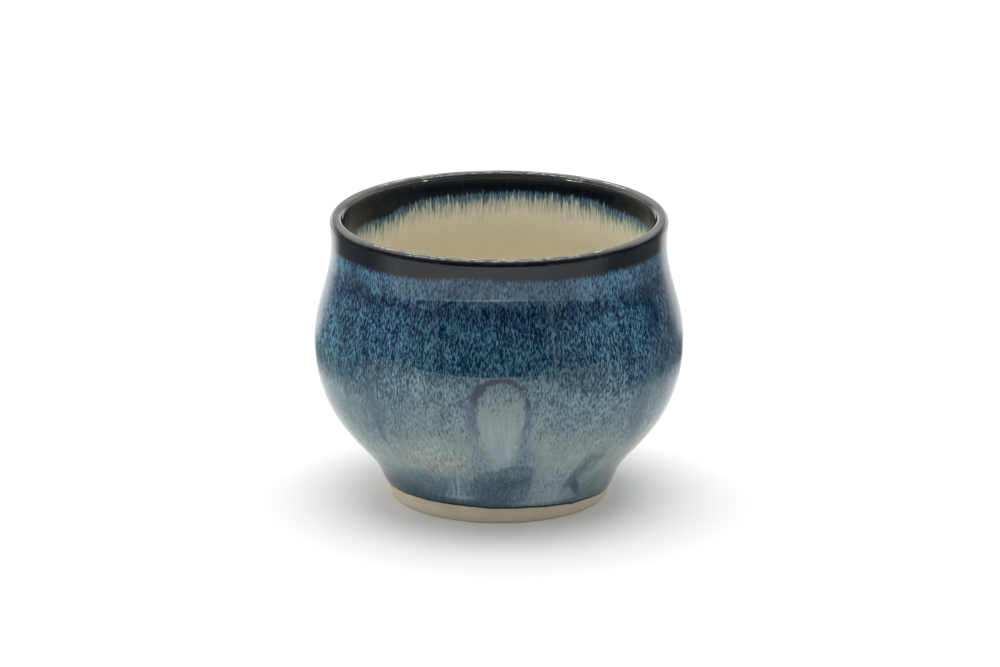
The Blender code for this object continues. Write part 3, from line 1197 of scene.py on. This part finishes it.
    def ground(self, s: Surface) -> Value:
        """Lay streaks over ground, both coloured by height.

        Args:
            s: The material under construction.

        Returns:
            The colour.
        """
        g = s.graph
        broad = s.noise(9.0, 16.0, 2.0, 31.0)
        middle = s.noise(2.4, 7.0, 2.0, 32.0)
        slip = (s.by_angle(self.settle) - 0.5) * 80.0
        low = 1.0 - g.step(s.height, 48.0, 60.0)
        slip = slip * (low * g.step(s.height, 12.0, 26.0))
        wander = broad * 7.0 + middle * 5.0
        wander = wander * (1.0 - g.step(s.height, 58.0, 64.0) * 0.75)
        side = g.step(abs(s.angle), 14.0, 30.0)
        middle_wall = g.step(s.height, 32.0, 40.0) - g.step(s.height, 56.0, 62.0)
        fray = s.noise(0.45, 2.6, 2.0, 51.0) * (side * middle_wall * 34.0)
        wander = wander + fray
        level = (s.height + wander + slip) / self.span
        light = g.ramp(level, [(h / self.span, c) for h, c in self.light])
        deep = g.ramp(level, [(h / self.span, c) for h, c in self.deep])
        tone = s.by_angle(self.tone) * 2.0
        tone = 1.0 + (tone - 1.0) * g.step(s.height, 32.0, 46.0)
        light = g.vector("SCALE", light, tone)
        cover = g.curve(level, self.cover) + middle * 0.55
        flecks = s.fleck(0.33, 1.25, cover, 0.085, 33.0)
        hair = s.noise(0.14, 1.8, 2.0, 34.0)
        flecks = g.math("ADD", flecks, hair * 0.6, clamp=True)
        colour = g.mix(flecks, deep, light)
        up = g.step(s.height, 20.0, 30.0)
        dashes = s.fleck(0.22, 1.5, 0.24, 0.08, 45.0) * up
        colour = s.tint(colour, deep, dashes, 0.6)
        threads = s.fleck(0.2, 2.1, 0.26, 0.08, 44.0) * up
        colour = s.tint(colour, g.vector("SCALE", light, 1.3), threads, 0.6)
        cloud = s.noise(3.5, 5.0, 2.0, 36.0)
        streaks = s.noise(0.7, 4.0, 3.0, 48.0, 0.6) * 0.5
        return g.vector("SCALE", colour, 1.0 + (streaks + cloud))

    def arched(self, s: Surface, colour: Value, stray: Value) -> Value:
        """Lay the arch over a colour.

        Args:
            s: The material under construction.
            colour: What lies under it.
            stray: Noise that its edge follows.

        Returns:
            The colour.
        """
        g, arch = s.graph, self.arch
        rough = s.noise(1.5, 2.6, 3.0, 47.0, 0.55) + stray * 0.4
        thick = 0.9 + s.noise(1.0, 1.4, 3.0, 49.0, 0.6) * 6.0
        thick = thick + g.step(s.height, 43.0, 46.0) * 0.5
        thick = thick + s.patch(arch.shoulder, stray) * 1.1
        thick = g.math("MAXIMUM", thick * arch.line, 0.012)
        parts = g.group(s.effects.arch, Angle=s.angle, Height=s.height, Stray=rough,
                        Centre_Angle=arch.angle, Half_Angle=arch.half_angle, Spring=arch.spring,
                        Crown=arch.crown, Taper_Start=arch.taper_start, Taper_End=arch.taper_end,
                        Line=thick)
        share = s.height / self.span
        inner = g.ramp(share, [(18 / self.span, (0.205, 0.300, 0.350)),
                               (24 / self.span, (0.260, 0.350, 0.385)),
                               (31 / self.span, (0.275, 0.335, 0.335)),
                               (38 / self.span, (0.225, 0.285, 0.280)),
                               (45 / self.span, (0.130, 0.200, 0.215))])
        spots = s.fleck(0.4, 1.4, 0.98 - g.step(s.height, 30.0, 45.0) * 0.46, 0.08, 37.0)
        inner = g.mix(spots, (0.030, 0.085, 0.130), inner)
        streak = s.noise(0.6, 7.0, 3.0, 38.0, 0.6)
        inner = g.vector("SCALE", inner, 1.0 + streak * 0.9)
        keep = parts["Inside"] * g.step(s.height, 15.0, 25.0)
        colour = s.tint(colour, inner, keep, 0.92)
        edge = g.ramp(share, [(26 / self.span, arch.faded), (40 / self.span, arch.dark)])
        fade = parts["Outline"] * g.curve(share,
                                          ((0.0, 0.0), (0.36, 0.0), (0.41, 0.3), (0.46, 0.6),
                                           (0.5, 0.95), (1.0, 0.95)))
        return s.tint(colour, edge, fade, 0.95)

    def material(self, effects: Effects) -> bpy.types.Material:
        """Build the material.

        Args:
            effects: The shared groups.

        Returns:
            The material.
        """
        s = Surface("blue_glaze", effects)
        g = s.graph
        colour = self.ground(s)
        stray = s.noise(1.0, 6.5, 3.0, 39.0, 0.6)
        colour = self.arched(s, colour, stray)
        grit = s.hair * 2.8 + s.noise(0.7, 2.4, 3.0, 50.0, 0.6) * 1.9
        grit = (1.0 + grit) * self.mark_strength
        smooth = grit * 0.3 + self.mark_strength * 0.7
        for mark in self.marks:
            mask = s.patch(mark, stray)
            grain = g.vector("SCALE", mark.colour, smooth if mark.pale else grit)
            colour = s.tint(colour, grain, mask, mark.strength)
        # Darker towards the hem, from 7.2 mm down to 4.6 mm.
        above_hem = 1.0 - g.step(s.height, 4.6, 7.2)
        colour = s.tint(colour, self.hem_darkening, above_hem, 0.55)
        colour = g.vector("SCALE", colour, self.strength)
        line = self.rim_line + (s.by_angle(self.rim_dip) - 0.5) * 10.0
        rim = s.ragged(line, 0.9, 2.8, 0.36, 0.85, 35.0)
        colour = s.tint(colour, self.dark.colour(s), rim)
        s.bump(s.noise(3.0, 3.0, 1.0, 23.0), 0.006 * MM)
        soft = 1.0 - g.step(s.height, 14.0, 46.0)
        return s.finish(colour, soft * 0.1 + self.dark.roughness)


@dataclass(frozen=True)
class LinerFinish:
    """Cream satin glaze inside, with blue-green runs that hang from the dark rim band."""

    dark: DarkFinish
    cream: Colour = srgb(221, 213, 190)
    pale: Colour = srgb(220, 216, 198)
    mist: Colour = srgb(122, 142, 132)
    teal: Colour = srgb(40, 82, 106)
    band_line: float = 72.0
    band_dip: tuple = (  # the band's lower edge by angle, 0.1 for each 2 mm; 0.5 is none
        (0.0, 0.52), (0.083, 0.475), (0.125, 0.40), (0.167, 0.375), (0.30, 0.45), (0.5, 0.5),
        (0.70, 0.46), (0.833, 0.475), (0.86, 0.48), (0.889, 0.52), (1.0, 0.52))
    roughness: float = 0.16

    def material(self, effects: Effects) -> bpy.types.Material:
        """Build the material.

        Args:
            effects: The shared groups.

        Returns:
            The material.
        """
        s = Surface("liner_glaze", effects)
        g = s.graph
        # Painted light: the cream turns paler from 55 mm up, towards the opening, where more light
        # reaches the inside.
        colour = s.tint(self.cream, self.pale, g.step(s.height, 55.0, 70.0), 0.8)
        cloud = s.noise(7.0, 16.0, 3.0, 41.0)
        colour = s.tint(colour, self.pale, g.step(cloud, -0.1, 0.3), 0.5)
        runs = s.noise(2.2, 22.0, 3.0, 46.0, 0.6)
        colour = g.vector("SCALE", colour, 1.0 + runs * 0.12)
        line = self.band_line + (s.by_angle(self.band_dip) - 0.5) * 20.0
        mist = s.ragged(line - 4.4, 2.8, 14.0, 0.5, 2.6, 42.0)
        colour = s.tint(colour, self.mist, mist, 0.7)
        hang = s.ragged(line - 1.9, 2.6, 12.0, 0.5, 0.9, 42.0)
        teal = g.vector("SCALE", self.teal, 1.0 + s.hair * 1.4)
        colour = s.tint(colour, teal, hang, 0.9)
        band = s.ragged(line, 2.0, 4.6, 0.5, 0.45, 42.0)
        colour = s.tint(colour, self.dark.colour(s), band)
        colour = s.tint(colour, srgb(70, 74, 60), s.speck(4.0, 0.28, 0.16), 0.7)
        s.bump(s.noise(2.6, 2.6, 2.0, 43.0), 0.02 * MM)
        rough = (1.0 - band) * (self.roughness - self.dark.roughness)
        return s.finish(colour, rough + self.dark.roughness, Specular_IOR_Level=0.2)


# ---------------------------------------------------------------------------------------------
# Pieces
# ---------------------------------------------------------------------------------------------


@dataclass
class Layers:
    """Where each coat starts and ends along the contour, and how deep its faces lie."""

    contour: CupContour
    bare_height: float = 3.5
    dark_hem: float = 0.65
    outer_join: float = 73.4
    inner_join: float = 76.0
    hem_depth: float = 0.2
    wall_depth: float = 0.5
    lip_depth: float = 0.36
    coat_split: float = 0.28
    feather: float = 3.0
    bare_depth_height: float = 3.0
    hem_reach: float = 5.0
    clearance: float = 0.004

    def __post_init__(self) -> None:
        """Turn the heights into reaches."""
        c = self.contour
        self.bare = c.outside(self.bare_height)
        self.blue_start = c.outside(self.bare_height + self.dark_hem)
        self.shoulder = c.outside(c.shoulder[1])
        self.blue_end = c.outside(self.outer_join)
        self.liner_start = c.inside(self.inner_join)

    def hem(self, reach: float) -> float:
        """Share of the hem's waver at a reach: all of it at the glaze line, none up the wall."""
        t = min(max((reach - self.bare) / self.hem_reach, 0.0), 1.0)
        return 1.0 - t * t * (3 - 2 * t)

    def clay_depth(self, reach: float) -> float:
        """Depth of the clay's surface below the finished one.

        Args:
            reach: The distance along the contour.

        Returns:
            The depth.
        """
        low = self.contour.outside(self.bare_depth_height)
        return float(np.interp(
            reach,
            [0.0, low, self.bare, self.shoulder, self.blue_end, self.contour.crest - 1.5,
             self.contour.crest + 1.5, self.liner_start, self.contour.end],
            [0.0, self.hem_depth, self.hem_depth, self.wall_depth, self.wall_depth,
             self.lip_depth, self.lip_depth, self.wall_depth, self.wall_depth]))

    def split_outside(self, reach: float) -> float:
        """Depth at which the blue coat lies on the dark one."""
        return float(np.interp(
            reach, [self.blue_start, self.shoulder, self.blue_end - self.feather, self.blue_end],
            [self.hem_depth * 0.55, self.coat_split, self.coat_split, self.clearance]))

    def split_inside(self, reach: float) -> float:
        """Depth at which the liner lies on the dark coat's lower edge."""
        return float(np.interp(reach, [self.liner_start, self.liner_start + self.feather],
                               [self.clearance, self.coat_split]))


def on_surface(_: float) -> float:
    """Depth of the finished surface itself, at any reach."""
    return 0.0


@dataclass
class Piece:
    """A visible piece of the mug, its node and its slot."""

    layers: Layers
    name: str = ""
    node: Node = Node.CLAY
    slot: Slot = Slot.CLAY
    closed: bool = True
    ring_depth: float = 0.006
    body: bpy.types.Object | None = None

    def section(self) -> Section:
        """The piece's outline; each kind of piece draws its own."""
        raise NotImplementedError

    def build(self, turner: Turner, material: bpy.types.Material) -> None:
        """Turn the section into the piece.

        Args:
            turner: What turns it.
            material: Its finish.
        """
        self.body = turner.turn(self.name, self.section(), material, self.closed, self.ring_depth)

    def dress(self) -> None:
        """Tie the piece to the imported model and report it."""
        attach(self.body, "root")
        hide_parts(self.node.value)
        log.info("%s: %d faces for %s", self.name, len(self.body.data.polygons), self.node.value)


@dataclass
class ThrownClay(Piece):
    """The thrown body with its turned foot; only the foot is left bare."""

    name: str = "mug_clay"
    closed: bool = False
    ring_inner: float = 24.0
    recess_radius: float = 22.4
    recess_depth: float = 3.0
    edge: float = 0.45

    def section(self) -> Section:
        """Underside, foot ring, and the wall under the coats, to the middle of the floor.

        Returns:
            The outline.
        """
        lay, c = self.layers, self.layers.contour
        out = Section(c)
        underside = [(r, self.recess_depth) for r in np.linspace(0.0, self.recess_radius - 1.0, 14)]
        underside += bezier((self.recess_radius - 0.9, self.recess_depth),
                            (self.recess_radius, self.recess_depth),
                            (self.recess_radius + 0.1, self.recess_depth - 0.3),
                            (self.ring_inner - 0.9, 0.9), 6)
        underside += bezier((self.ring_inner - 0.6, self.edge), (self.ring_inner - 0.4, 0.1),
                            (self.ring_inner - 0.2, 0.0), (self.ring_inner + 0.3, 0.0), 5)
        underside += [(r, 0.0) for r in np.linspace(self.ring_inner + 0.8,
                                                    c.foot_radius - self.edge - 0.5, 8)]
        tip = c.outside(self.edge)
        corner = c.place(np.array([tip]), np.array([0.0]))[0][0]
        underside += bezier((c.foot_radius - self.edge, 0.0), (c.foot_radius - 0.1, 0.0),
                            (corner[0] - 0.12, corner[1] - 0.25),
                            (corner[0] - 0.01, corner[1] - 0.02), 5)
        out.fixed = underside
        out.run(tip, lay.shoulder, 0.3, lay.clay_depth)
        out.run(lay.shoulder + 1.5, c.crest - 2.5, 1.6, lay.clay_depth)
        out.run(c.crest - 2.2, c.crest + 2.2, 0.5, lay.clay_depth)
        out.run(c.crest + 3.0, c.end, 1.8, lay.clay_depth)
        return out


@dataclass
class DarkCoat(Piece):
    """The dark coat: a hem above the foot, a skin under the blue, and the whole rim."""

    name: str = "mug_dark_glaze"
    node: Node = Node.DARK
    slot: Slot = Slot.DARK

    def section(self) -> Section:
        """Up the outside, over the lip, down to its lower edge inside, and back behind.

        Returns:
            The outline.
        """
        lay, c = self.layers, self.layers.contour
        end = lay.liner_start + lay.feather + 2.0
        gap = lay.clearance

        def back(reach: float) -> float:
            """Depth of the coat's back."""
            return lay.clay_depth(reach) - gap

        def under_blue(reach: float) -> float:
            """Depth of the coat's face where the blue one lies on it."""
            return lay.split_outside(reach) + gap

        out = Section(c)
        out.bead(lay.bare, 0.0, lay.hem_depth - gap, -1, 1.0)
        out.run(lay.bare, lay.blue_start, 0.13, on_surface, lay.hem)
        out.run(lay.blue_start + 0.12, lay.shoulder, 0.4, under_blue, lay.hem)
        out.run(lay.shoulder + 1.5, lay.blue_end - lay.feather, 1.6, under_blue)
        out.run(lay.blue_end - lay.feather + 0.6, lay.blue_end - 0.002, 0.5, under_blue)
        out.run(lay.blue_end, c.crest - 3.0, 0.3, on_surface)
        out.run(c.crest - 2.85, c.crest + 1.5, 0.15, on_surface)
        out.run(c.crest + 1.57, c.crest + 3.3, 0.07, on_surface)
        out.run(c.crest + 3.45, lay.liner_start, 0.25, on_surface)
        out.run(lay.liner_start + 0.002, end, 0.5, lambda reach: lay.split_inside(reach) + gap)
        out.bead(end, lay.split_inside(end) + gap, back(end), 1, 0.0)
        out.run(end, c.crest + 2.5, 1.0, back)
        out.run(c.crest + 2.2, c.crest - 2.2, 0.5, back)
        out.run(c.crest - 2.8, lay.shoulder + 1.0, 1.6, back)
        out.run(lay.shoulder, lay.bare, 0.5, back, lay.hem)
        return out


@dataclass
class BlueCoat(Piece):
    """The streaked blue coat on the outer wall."""

    name: str = "mug_blue_glaze"
    node: Node = Node.BLUE
    slot: Slot = Slot.BLUE

    def section(self) -> Section:
        """Up the outside from its hem to the rim, and back down against the dark coat.

        Returns:
            The outline.
        """
        lay = self.layers
        out = Section(lay.contour)
        hem_back = lay.split_outside(lay.blue_start)
        out.bead(lay.blue_start, 0.0, hem_back, -1, lay.hem(lay.blue_start))
        out.run(lay.blue_start, lay.blue_end, 0.45, on_surface, lay.hem)
        out.run(lay.blue_end, lay.shoulder + 1.0, 1.3, lay.split_outside)
        out.run(lay.shoulder, lay.blue_start, 0.5, lay.split_outside, lay.hem)
        return out


@dataclass
class CreamLiner(Piece):
    """The cream coat inside, from just under the lip to the middle of the floor."""

    name: str = "mug_cream_liner"
    node: Node = Node.LINER
    slot: Slot = Slot.LINER
    closed: bool = False

    def section(self) -> Section:
        """From the axis out along the back, up behind, over its top edge and down the face.

        Returns:
            The outline.
        """
        lay, c = self.layers, self.layers.contour
        gap = lay.clearance
        under_dark = lay.liner_start + lay.feather + 3.0

        def back(reach: float) -> float:
            """Depth of the liner's back: on the dark coat at the top, on the clay below."""
            if reach < under_dark:
                return lay.split_inside(reach)
            return lay.clay_depth(reach) - gap

        out = Section(c)
        out.run(c.end, under_dark + 0.3, 1.6, back)
        out.run(under_dark - 0.3, lay.liner_start, 0.8, back)
        out.run(lay.liner_start, c.end, 0.5, on_surface)
        return out


# ---------------------------------------------------------------------------------------------
# Studio
# ---------------------------------------------------------------------------------------------


def panel(name: str, corners: Sequence[tuple], material: bpy.types.Material) -> bpy.types.Object:
    """A flat four-cornered stage piece.

    Args:
        name: Its name.
        corners: Its corners in order.
        material: Its finish.

    Returns:
        The object.
    """
    mesh = bpy.data.meshes.new(name)
    mesh.from_pydata(corners, [], [(0, 1, 2, 3)])
    mesh.materials.append(material)
    made = bpy.data.objects.new(name, mesh)
    bpy.context.scene.collection.objects.link(made)
    return made


def level_square(centre: tuple[float, float, float], half: float) -> list[tuple]:
    """Corners of a level square.

    Args:
        centre: Its centre.
        half: Half of its side.

    Returns:
        The corners in order.
    """
    x, y, z = centre
    return [(x + i * half, y + j * half, z) for i, j in ((-1, -1), (1, -1), (1, 1), (-1, 1))]


def glow(name: str, colour: Colour, strength: float) -> bpy.types.Material:
    """A plain emitting material for a lamp or a card.

    Args:
        name: Its name.
        colour: Its colour.
        strength: Its strength.

    Returns:
        The material.
    """
    material = bpy.data.materials.new(name)
    material.use_nodes = True
    tree = material.node_tree
    tree.nodes.remove(tree.nodes["Principled BSDF"])
    lamp = tree.nodes.new("ShaderNodeEmission")
    lamp.inputs["Color"].default_value = (*colour, 1.0)
    lamp.inputs["Strength"].default_value = strength
    tree.links.new(lamp.outputs[0], tree.nodes["Material Output"].inputs["Surface"])
    return material


@dataclass
class LampRow:
    """A row of small lamps in the roof, seen only in the gloss."""

    depth: float
    height: float
    left: float
    right: float
    pitch: float = 0.040
    size: float = 0.022
    power: float = 60.0
    colour: Colour = (1.0, 0.99, 0.96)

    def build(self, name: str) -> None:
        """Hang the row.

        Args:
            name: What to call it.
        """
        material = glow(name, self.colour, self.power)
        count = int((self.right - self.left) / self.pitch)
        for i in range(count + 1):
            centre = (self.left + i * self.pitch, self.depth, self.height)
            gloss_only(panel(f"{name}_{i}", level_square(centre, self.size / 2), material))


def gloss_only(card: bpy.types.Object) -> bpy.types.Object:
    """Hide a stage piece from everything but reflections.

    Args:
        card: The piece.

    Returns:
        The same piece.
    """
    card.visible_camera = False
    card.visible_diffuse = False
    card.visible_shadow = False
    card.visible_transmission = False
    return card


@dataclass(frozen=True)
class Fade:
    """A soft step from 0 up to an amount between two limits."""

    low: float
    high: float
    amount: float = 1.0

    def at(self, g: Graph, value: Value) -> Value:
        """The step at a value."""
        return g.step(value, self.low, self.high) * self.amount


@dataclass(frozen=True)
class WallBand:
    """A lit stretch of the room's side walls, by azimuth from the front in degrees."""

    start: float
    stop: float
    soft: float
    power: float

    def at(self, g: Graph, turn: Value) -> Value:
        """Its light by azimuth.

        Args:
            g: The graph of the room's material.
            turn: The azimuth.

        Returns:
            The light.
        """
        rise = g.step(turn, self.start - self.soft, self.start + self.soft)
        fall = g.step(turn, self.stop - self.soft, self.stop + self.soft)
        return (rise - fall) * self.power


@dataclass(frozen=True)
class Room:
    """What the gloss sees all round, by azimuth from the front and elevation, in degrees."""

    radius: float = 1.4
    centre: float = 0.06
    dark: float = 0.004
    sweep: Fade = Fade(134.0, 156.0, 0.9)
    level: Fade = Fade(120.0, 150.0, 1.1)
    level_top: Fade = Fade(0.0, 12.0)
    back: Fade = Fade(88.0, 128.0, 2.0)
    back_rise: Fade = Fade(4.0, 34.0)
    wall_top: Fade = Fade(16.0, 24.0)
    walls: tuple[WallBand, ...] = (
        WallBand(35.0, 86.0, 2.0, 0.12),
        WallBand(33.2, 35.0, 0.3, 0.9),
        WallBand(-92.0, -42.0, 2.0, 0.12),
        WallBand(-42.0, -40.4, 0.3, 0.6),
        WallBand(-140.0, -96.0, 4.0, 0.15),
    )
    roof_front: Fade = Fade(-0.62, -0.26)  # by distance back for each unit up
    roof_rise: Fade = Fade(30.0, 48.0)
    roof_power: float = 0.9
    roof_gain: Fade = Fade(-0.2, 0.6, 1.4)
    least_rise: float = 0.02

    def build(self) -> None:
        """Put the room round the mug."""
        bpy.ops.mesh.primitive_uv_sphere_add(segments=64, ring_count=32, radius=self.radius,
                                             location=(0.0, 0.0, 0.0))
        room = bpy.context.object
        room.name = "room"
        room.data.transform(Matrix.Translation((0.0, 0.0, self.centre)))
        room.data.materials.append(self.material())
        gloss_only(room)

    def material(self) -> bpy.types.Material:
        """A dark room with a lit sweep behind, a lit roof and faint side walls.

        Returns:
            The material.
        """
        material = glow("room", (1.0, 1.0, 0.99), 0.0)
        g = Graph(material.node_tree)
        place = g.vector("SUBTRACT", g.node("ShaderNodeTexCoord").outputs["Object"],
                         (0.0, 0.0, self.centre))
        x, y, z = g.separate(g.vector("NORMALIZE", place))
        turn = g.math("DEGREES", g.math("ARCTAN2", x, y * -1.0))
        rise = g.math("DEGREES", g.math("ARCSINE", z))
        off = abs(turn)
        level = self.level.at(g, off) * (1.0 - self.level_top.at(g, rise))
        low = self.sweep.at(g, off) + level
        high = self.back.at(g, off) * self.back_rise.at(g, rise)
        sides = sum(band.at(g, turn) for band in self.walls)
        sides = sides * (1.0 - self.wall_top.at(g, rise))
        over = y / g.math("MAXIMUM", z, self.least_rise)
        roof = self.roof_front.at(g, over) * self.roof_rise.at(g, rise)
        roof = roof * (self.roof_power + self.roof_gain.at(g, over))
        total = g.math("MAXIMUM", low + sides, g.math("MAXIMUM", high, roof))
        g.feed(material.node_tree.nodes["Emission"].inputs["Strength"], total + self.dark)
        return material


@dataclass(frozen=True)
class Table:
    """The dark table to either side of the sheet, fading in, seen only in the gloss."""

    half: float = 1.4
    height: float = 0.0006
    power: float = 0.18
    dark: float = 0.006
    side: Fade = Fade(58.0, 94.0)
    right_turn: Fade = Fade(0.0, 0.05, 12.0)
    behind: Fade = Fade(138.0, 156.0)
    behind_turn: Fade = Fade(0.15, 0.24, 10.0)
    clear: Fade = Fade(0.095, 0.15)
    both_wings: Fade = Fade(0.08, 0.28, 0.3)
    right_wing: Fade = Fade(0.02, 0.16, 0.2)
    wing_end: Fade = Fade(120.0, 142.0, 0.7)
    sheet_end: Fade = Fade(0.678, 0.68)
    sheet_lip: Fade = Fade(0.56, 0.59)
    lip_power: float = 3.2

    def build(self) -> None:
        """Lay the table just over the floor."""
        material = glow("table", (1.0, 1.0, 1.0), self.power)
        tree = material.node_tree
        g = Graph(tree)
        x, y, _ = g.separate(g.node("ShaderNodeTexCoord").outputs["Object"])
        ahead = y * -1.0
        off = g.math("DEGREES", abs(g.math("ARCTAN2", x, ahead)))
        far = g.math("SQRT", x * x + y * y)
        mask = self.side.at(g, off + self.right_turn.at(g, x))
        mask = mask - self.behind.at(g, off + self.behind_turn.at(g, far))
        mask = mask * self.clear.at(g, far)
        wings = self.both_wings.at(g, abs(x)) + self.right_wing.at(g, x)
        wings = wings * (1.0 - self.wing_end.at(g, off))
        mask = g.math("MAXIMUM", mask, wings)
        end = self.sheet_end.at(g, ahead)
        lip = (self.sheet_lip.at(g, ahead) - end) * (1.0 - mask)
        mask = g.math("MAXIMUM", g.math("MAXIMUM", mask, end), lip)
        power = (1.0 - end) * self.power + lip * self.lip_power
        g.feed(tree.nodes["Emission"].inputs["Strength"], power + self.dark)
        blend = g.node("ShaderNodeMixShader")
        g.feed(blend.inputs[0], mask)
        g.feed(blend.inputs[1], g.node("ShaderNodeBsdfTransparent").outputs[0])
        g.feed(blend.inputs[2], tree.nodes["Emission"].outputs[0])
        g.feed(tree.nodes["Material Output"].inputs["Surface"], blend.outputs[0])
        gloss_only(panel("table", level_square((0.0, 0.0, self.height), self.half), material))


@dataclass(frozen=True)
class Studio:
    """A white sweep under a soft roof, open to a dark room at the front and the sides."""

    aim_height: float = 0.0444
    side_step: float = 0.00026
    elevation: float = math.radians(16.92)
    distance: float = 1.750
    lens: float = 232.8
    sensor: float = 36.0
    floor_colour: Colour = (0.79, 0.79, 0.775)
    floor_half: float = 6.0
    sky_tilt: float = 0.6
    sky_turn: Fade = Fade(-0.75, 0.15)
    sky_front: float = 0.6
    sky_back: float = 0.62
    sky_low: float = 3.4
    sky_low_top: Fade = Fade(0.05, 0.6)
    sky_left: float = 0.45
    sky_top: Fade = Fade(0.6, 0.95, 1.0)
    roof_power: float = 2.0
    roof_centre: tuple[float, float, float] = (0.0, 0.12, 0.62)
    roof_size: tuple[float, float] = (0.75, 0.6)

    def camera(self) -> None:
        """Place the camera."""
        data = bpy.data.cameras.new("camera")
        data.lens = self.lens
        data.sensor_width = self.sensor
        data.clip_end = 50.0
        made = bpy.data.objects.new("camera", data)
        bpy.context.scene.collection.objects.link(made)
        made.location = (self.side_step, -self.distance * math.cos(self.elevation),
                         self.aim_height + self.distance * math.sin(self.elevation))
        made.rotation_euler = (math.pi / 2 - self.elevation, 0.0, 0.0)
        bpy.context.scene.camera = made

    def world(self) -> None:
        """Soft white from the back, the sides and above, and little from the open front."""
        scene = bpy.context.scene
        world = bpy.data.worlds.new("tent")
        world.use_nodes = True
        back = world.node_tree.nodes["Background"]
        g = Graph(world.node_tree)
        way = g.node("ShaderNodeTexCoord").outputs["Generated"]
        x, y, z = g.separate(way)
        blend = self.sky_turn.at(g, y + z * self.sky_tilt)
        low = (1.0 - self.sky_low_top.at(g, z)) * self.sky_low * (1.0 - x * self.sky_left)
        wide = (low + 1.0) * self.sky_back
        strength = (1.0 - blend) * self.sky_front + blend * wide
        g.feed(back.inputs["Strength"], strength + self.sky_top.at(g, z))
        back.inputs["Color"].default_value = (1.0, 1.0, 1.0, 1.0)
        scene.world = world
        scene.view_settings.view_transform = "Standard"

    def floor(self) -> None:
        """The white sheet that the mug stands on."""
        material = bpy.data.materials.new("floor")
        material.use_nodes = True
        shader = material.node_tree.nodes["Principled BSDF"]
        shader.inputs["Base Color"].default_value = (*self.floor_colour, 1.0)
        shader.inputs["Roughness"].default_value = 0.9
        shader.inputs["Specular IOR Level"].default_value = 0.2
        panel("floor", level_square((0.0, 0.0, 0.0), self.floor_half), material)

    def lights(self) -> None:
        """The soft roof light."""
        data = bpy.data.lights.new("roof", "AREA")
        data.shape = "RECTANGLE"
        data.size, data.size_y = self.roof_size
        data.energy = self.roof_power
        made = bpy.data.objects.new("roof", data)
        bpy.context.scene.collection.objects.link(made)
        made.location = self.roof_centre
        made.visible_glossy = False
        made.visible_camera = False

    def build(self) -> None:
        """Set everything up."""
        self.camera()
        self.world()
        self.floor()
        self.lights()
        Room().build()
        Table().build()
        LampRow(depth=0.06, height=0.59, left=-0.33, right=0.27).build("lamps_over")
        LampRow(depth=0.42, height=0.47, left=-0.19, right=0.13).build("lamps_back")
        log.info("studio: camera %.0f mm lens at %.2f m", self.lens, self.distance)


def main() -> None:
    """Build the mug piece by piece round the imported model, and the studio."""
    logging.basicConfig(level=logging.INFO, format="%(name)s: %(message)s")
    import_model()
    Studio().build()

    effects = Effects()
    dark = DarkFinish()
    layers = Layers(CupContour.from_frame())
    turner = Turner(turning_tree())
    pieces = [
        (ThrownClay(layers), ClayFinish()),
        (DarkCoat(layers), dark),
        (BlueCoat(layers), BlueFinish(dark)),
        (CreamLiner(layers), LinerFinish(dark)),
    ]
    for piece, finish in pieces:
        piece.build(turner, finish.material(effects))
        piece.dress()


if __name__ == "__main__":
    main()
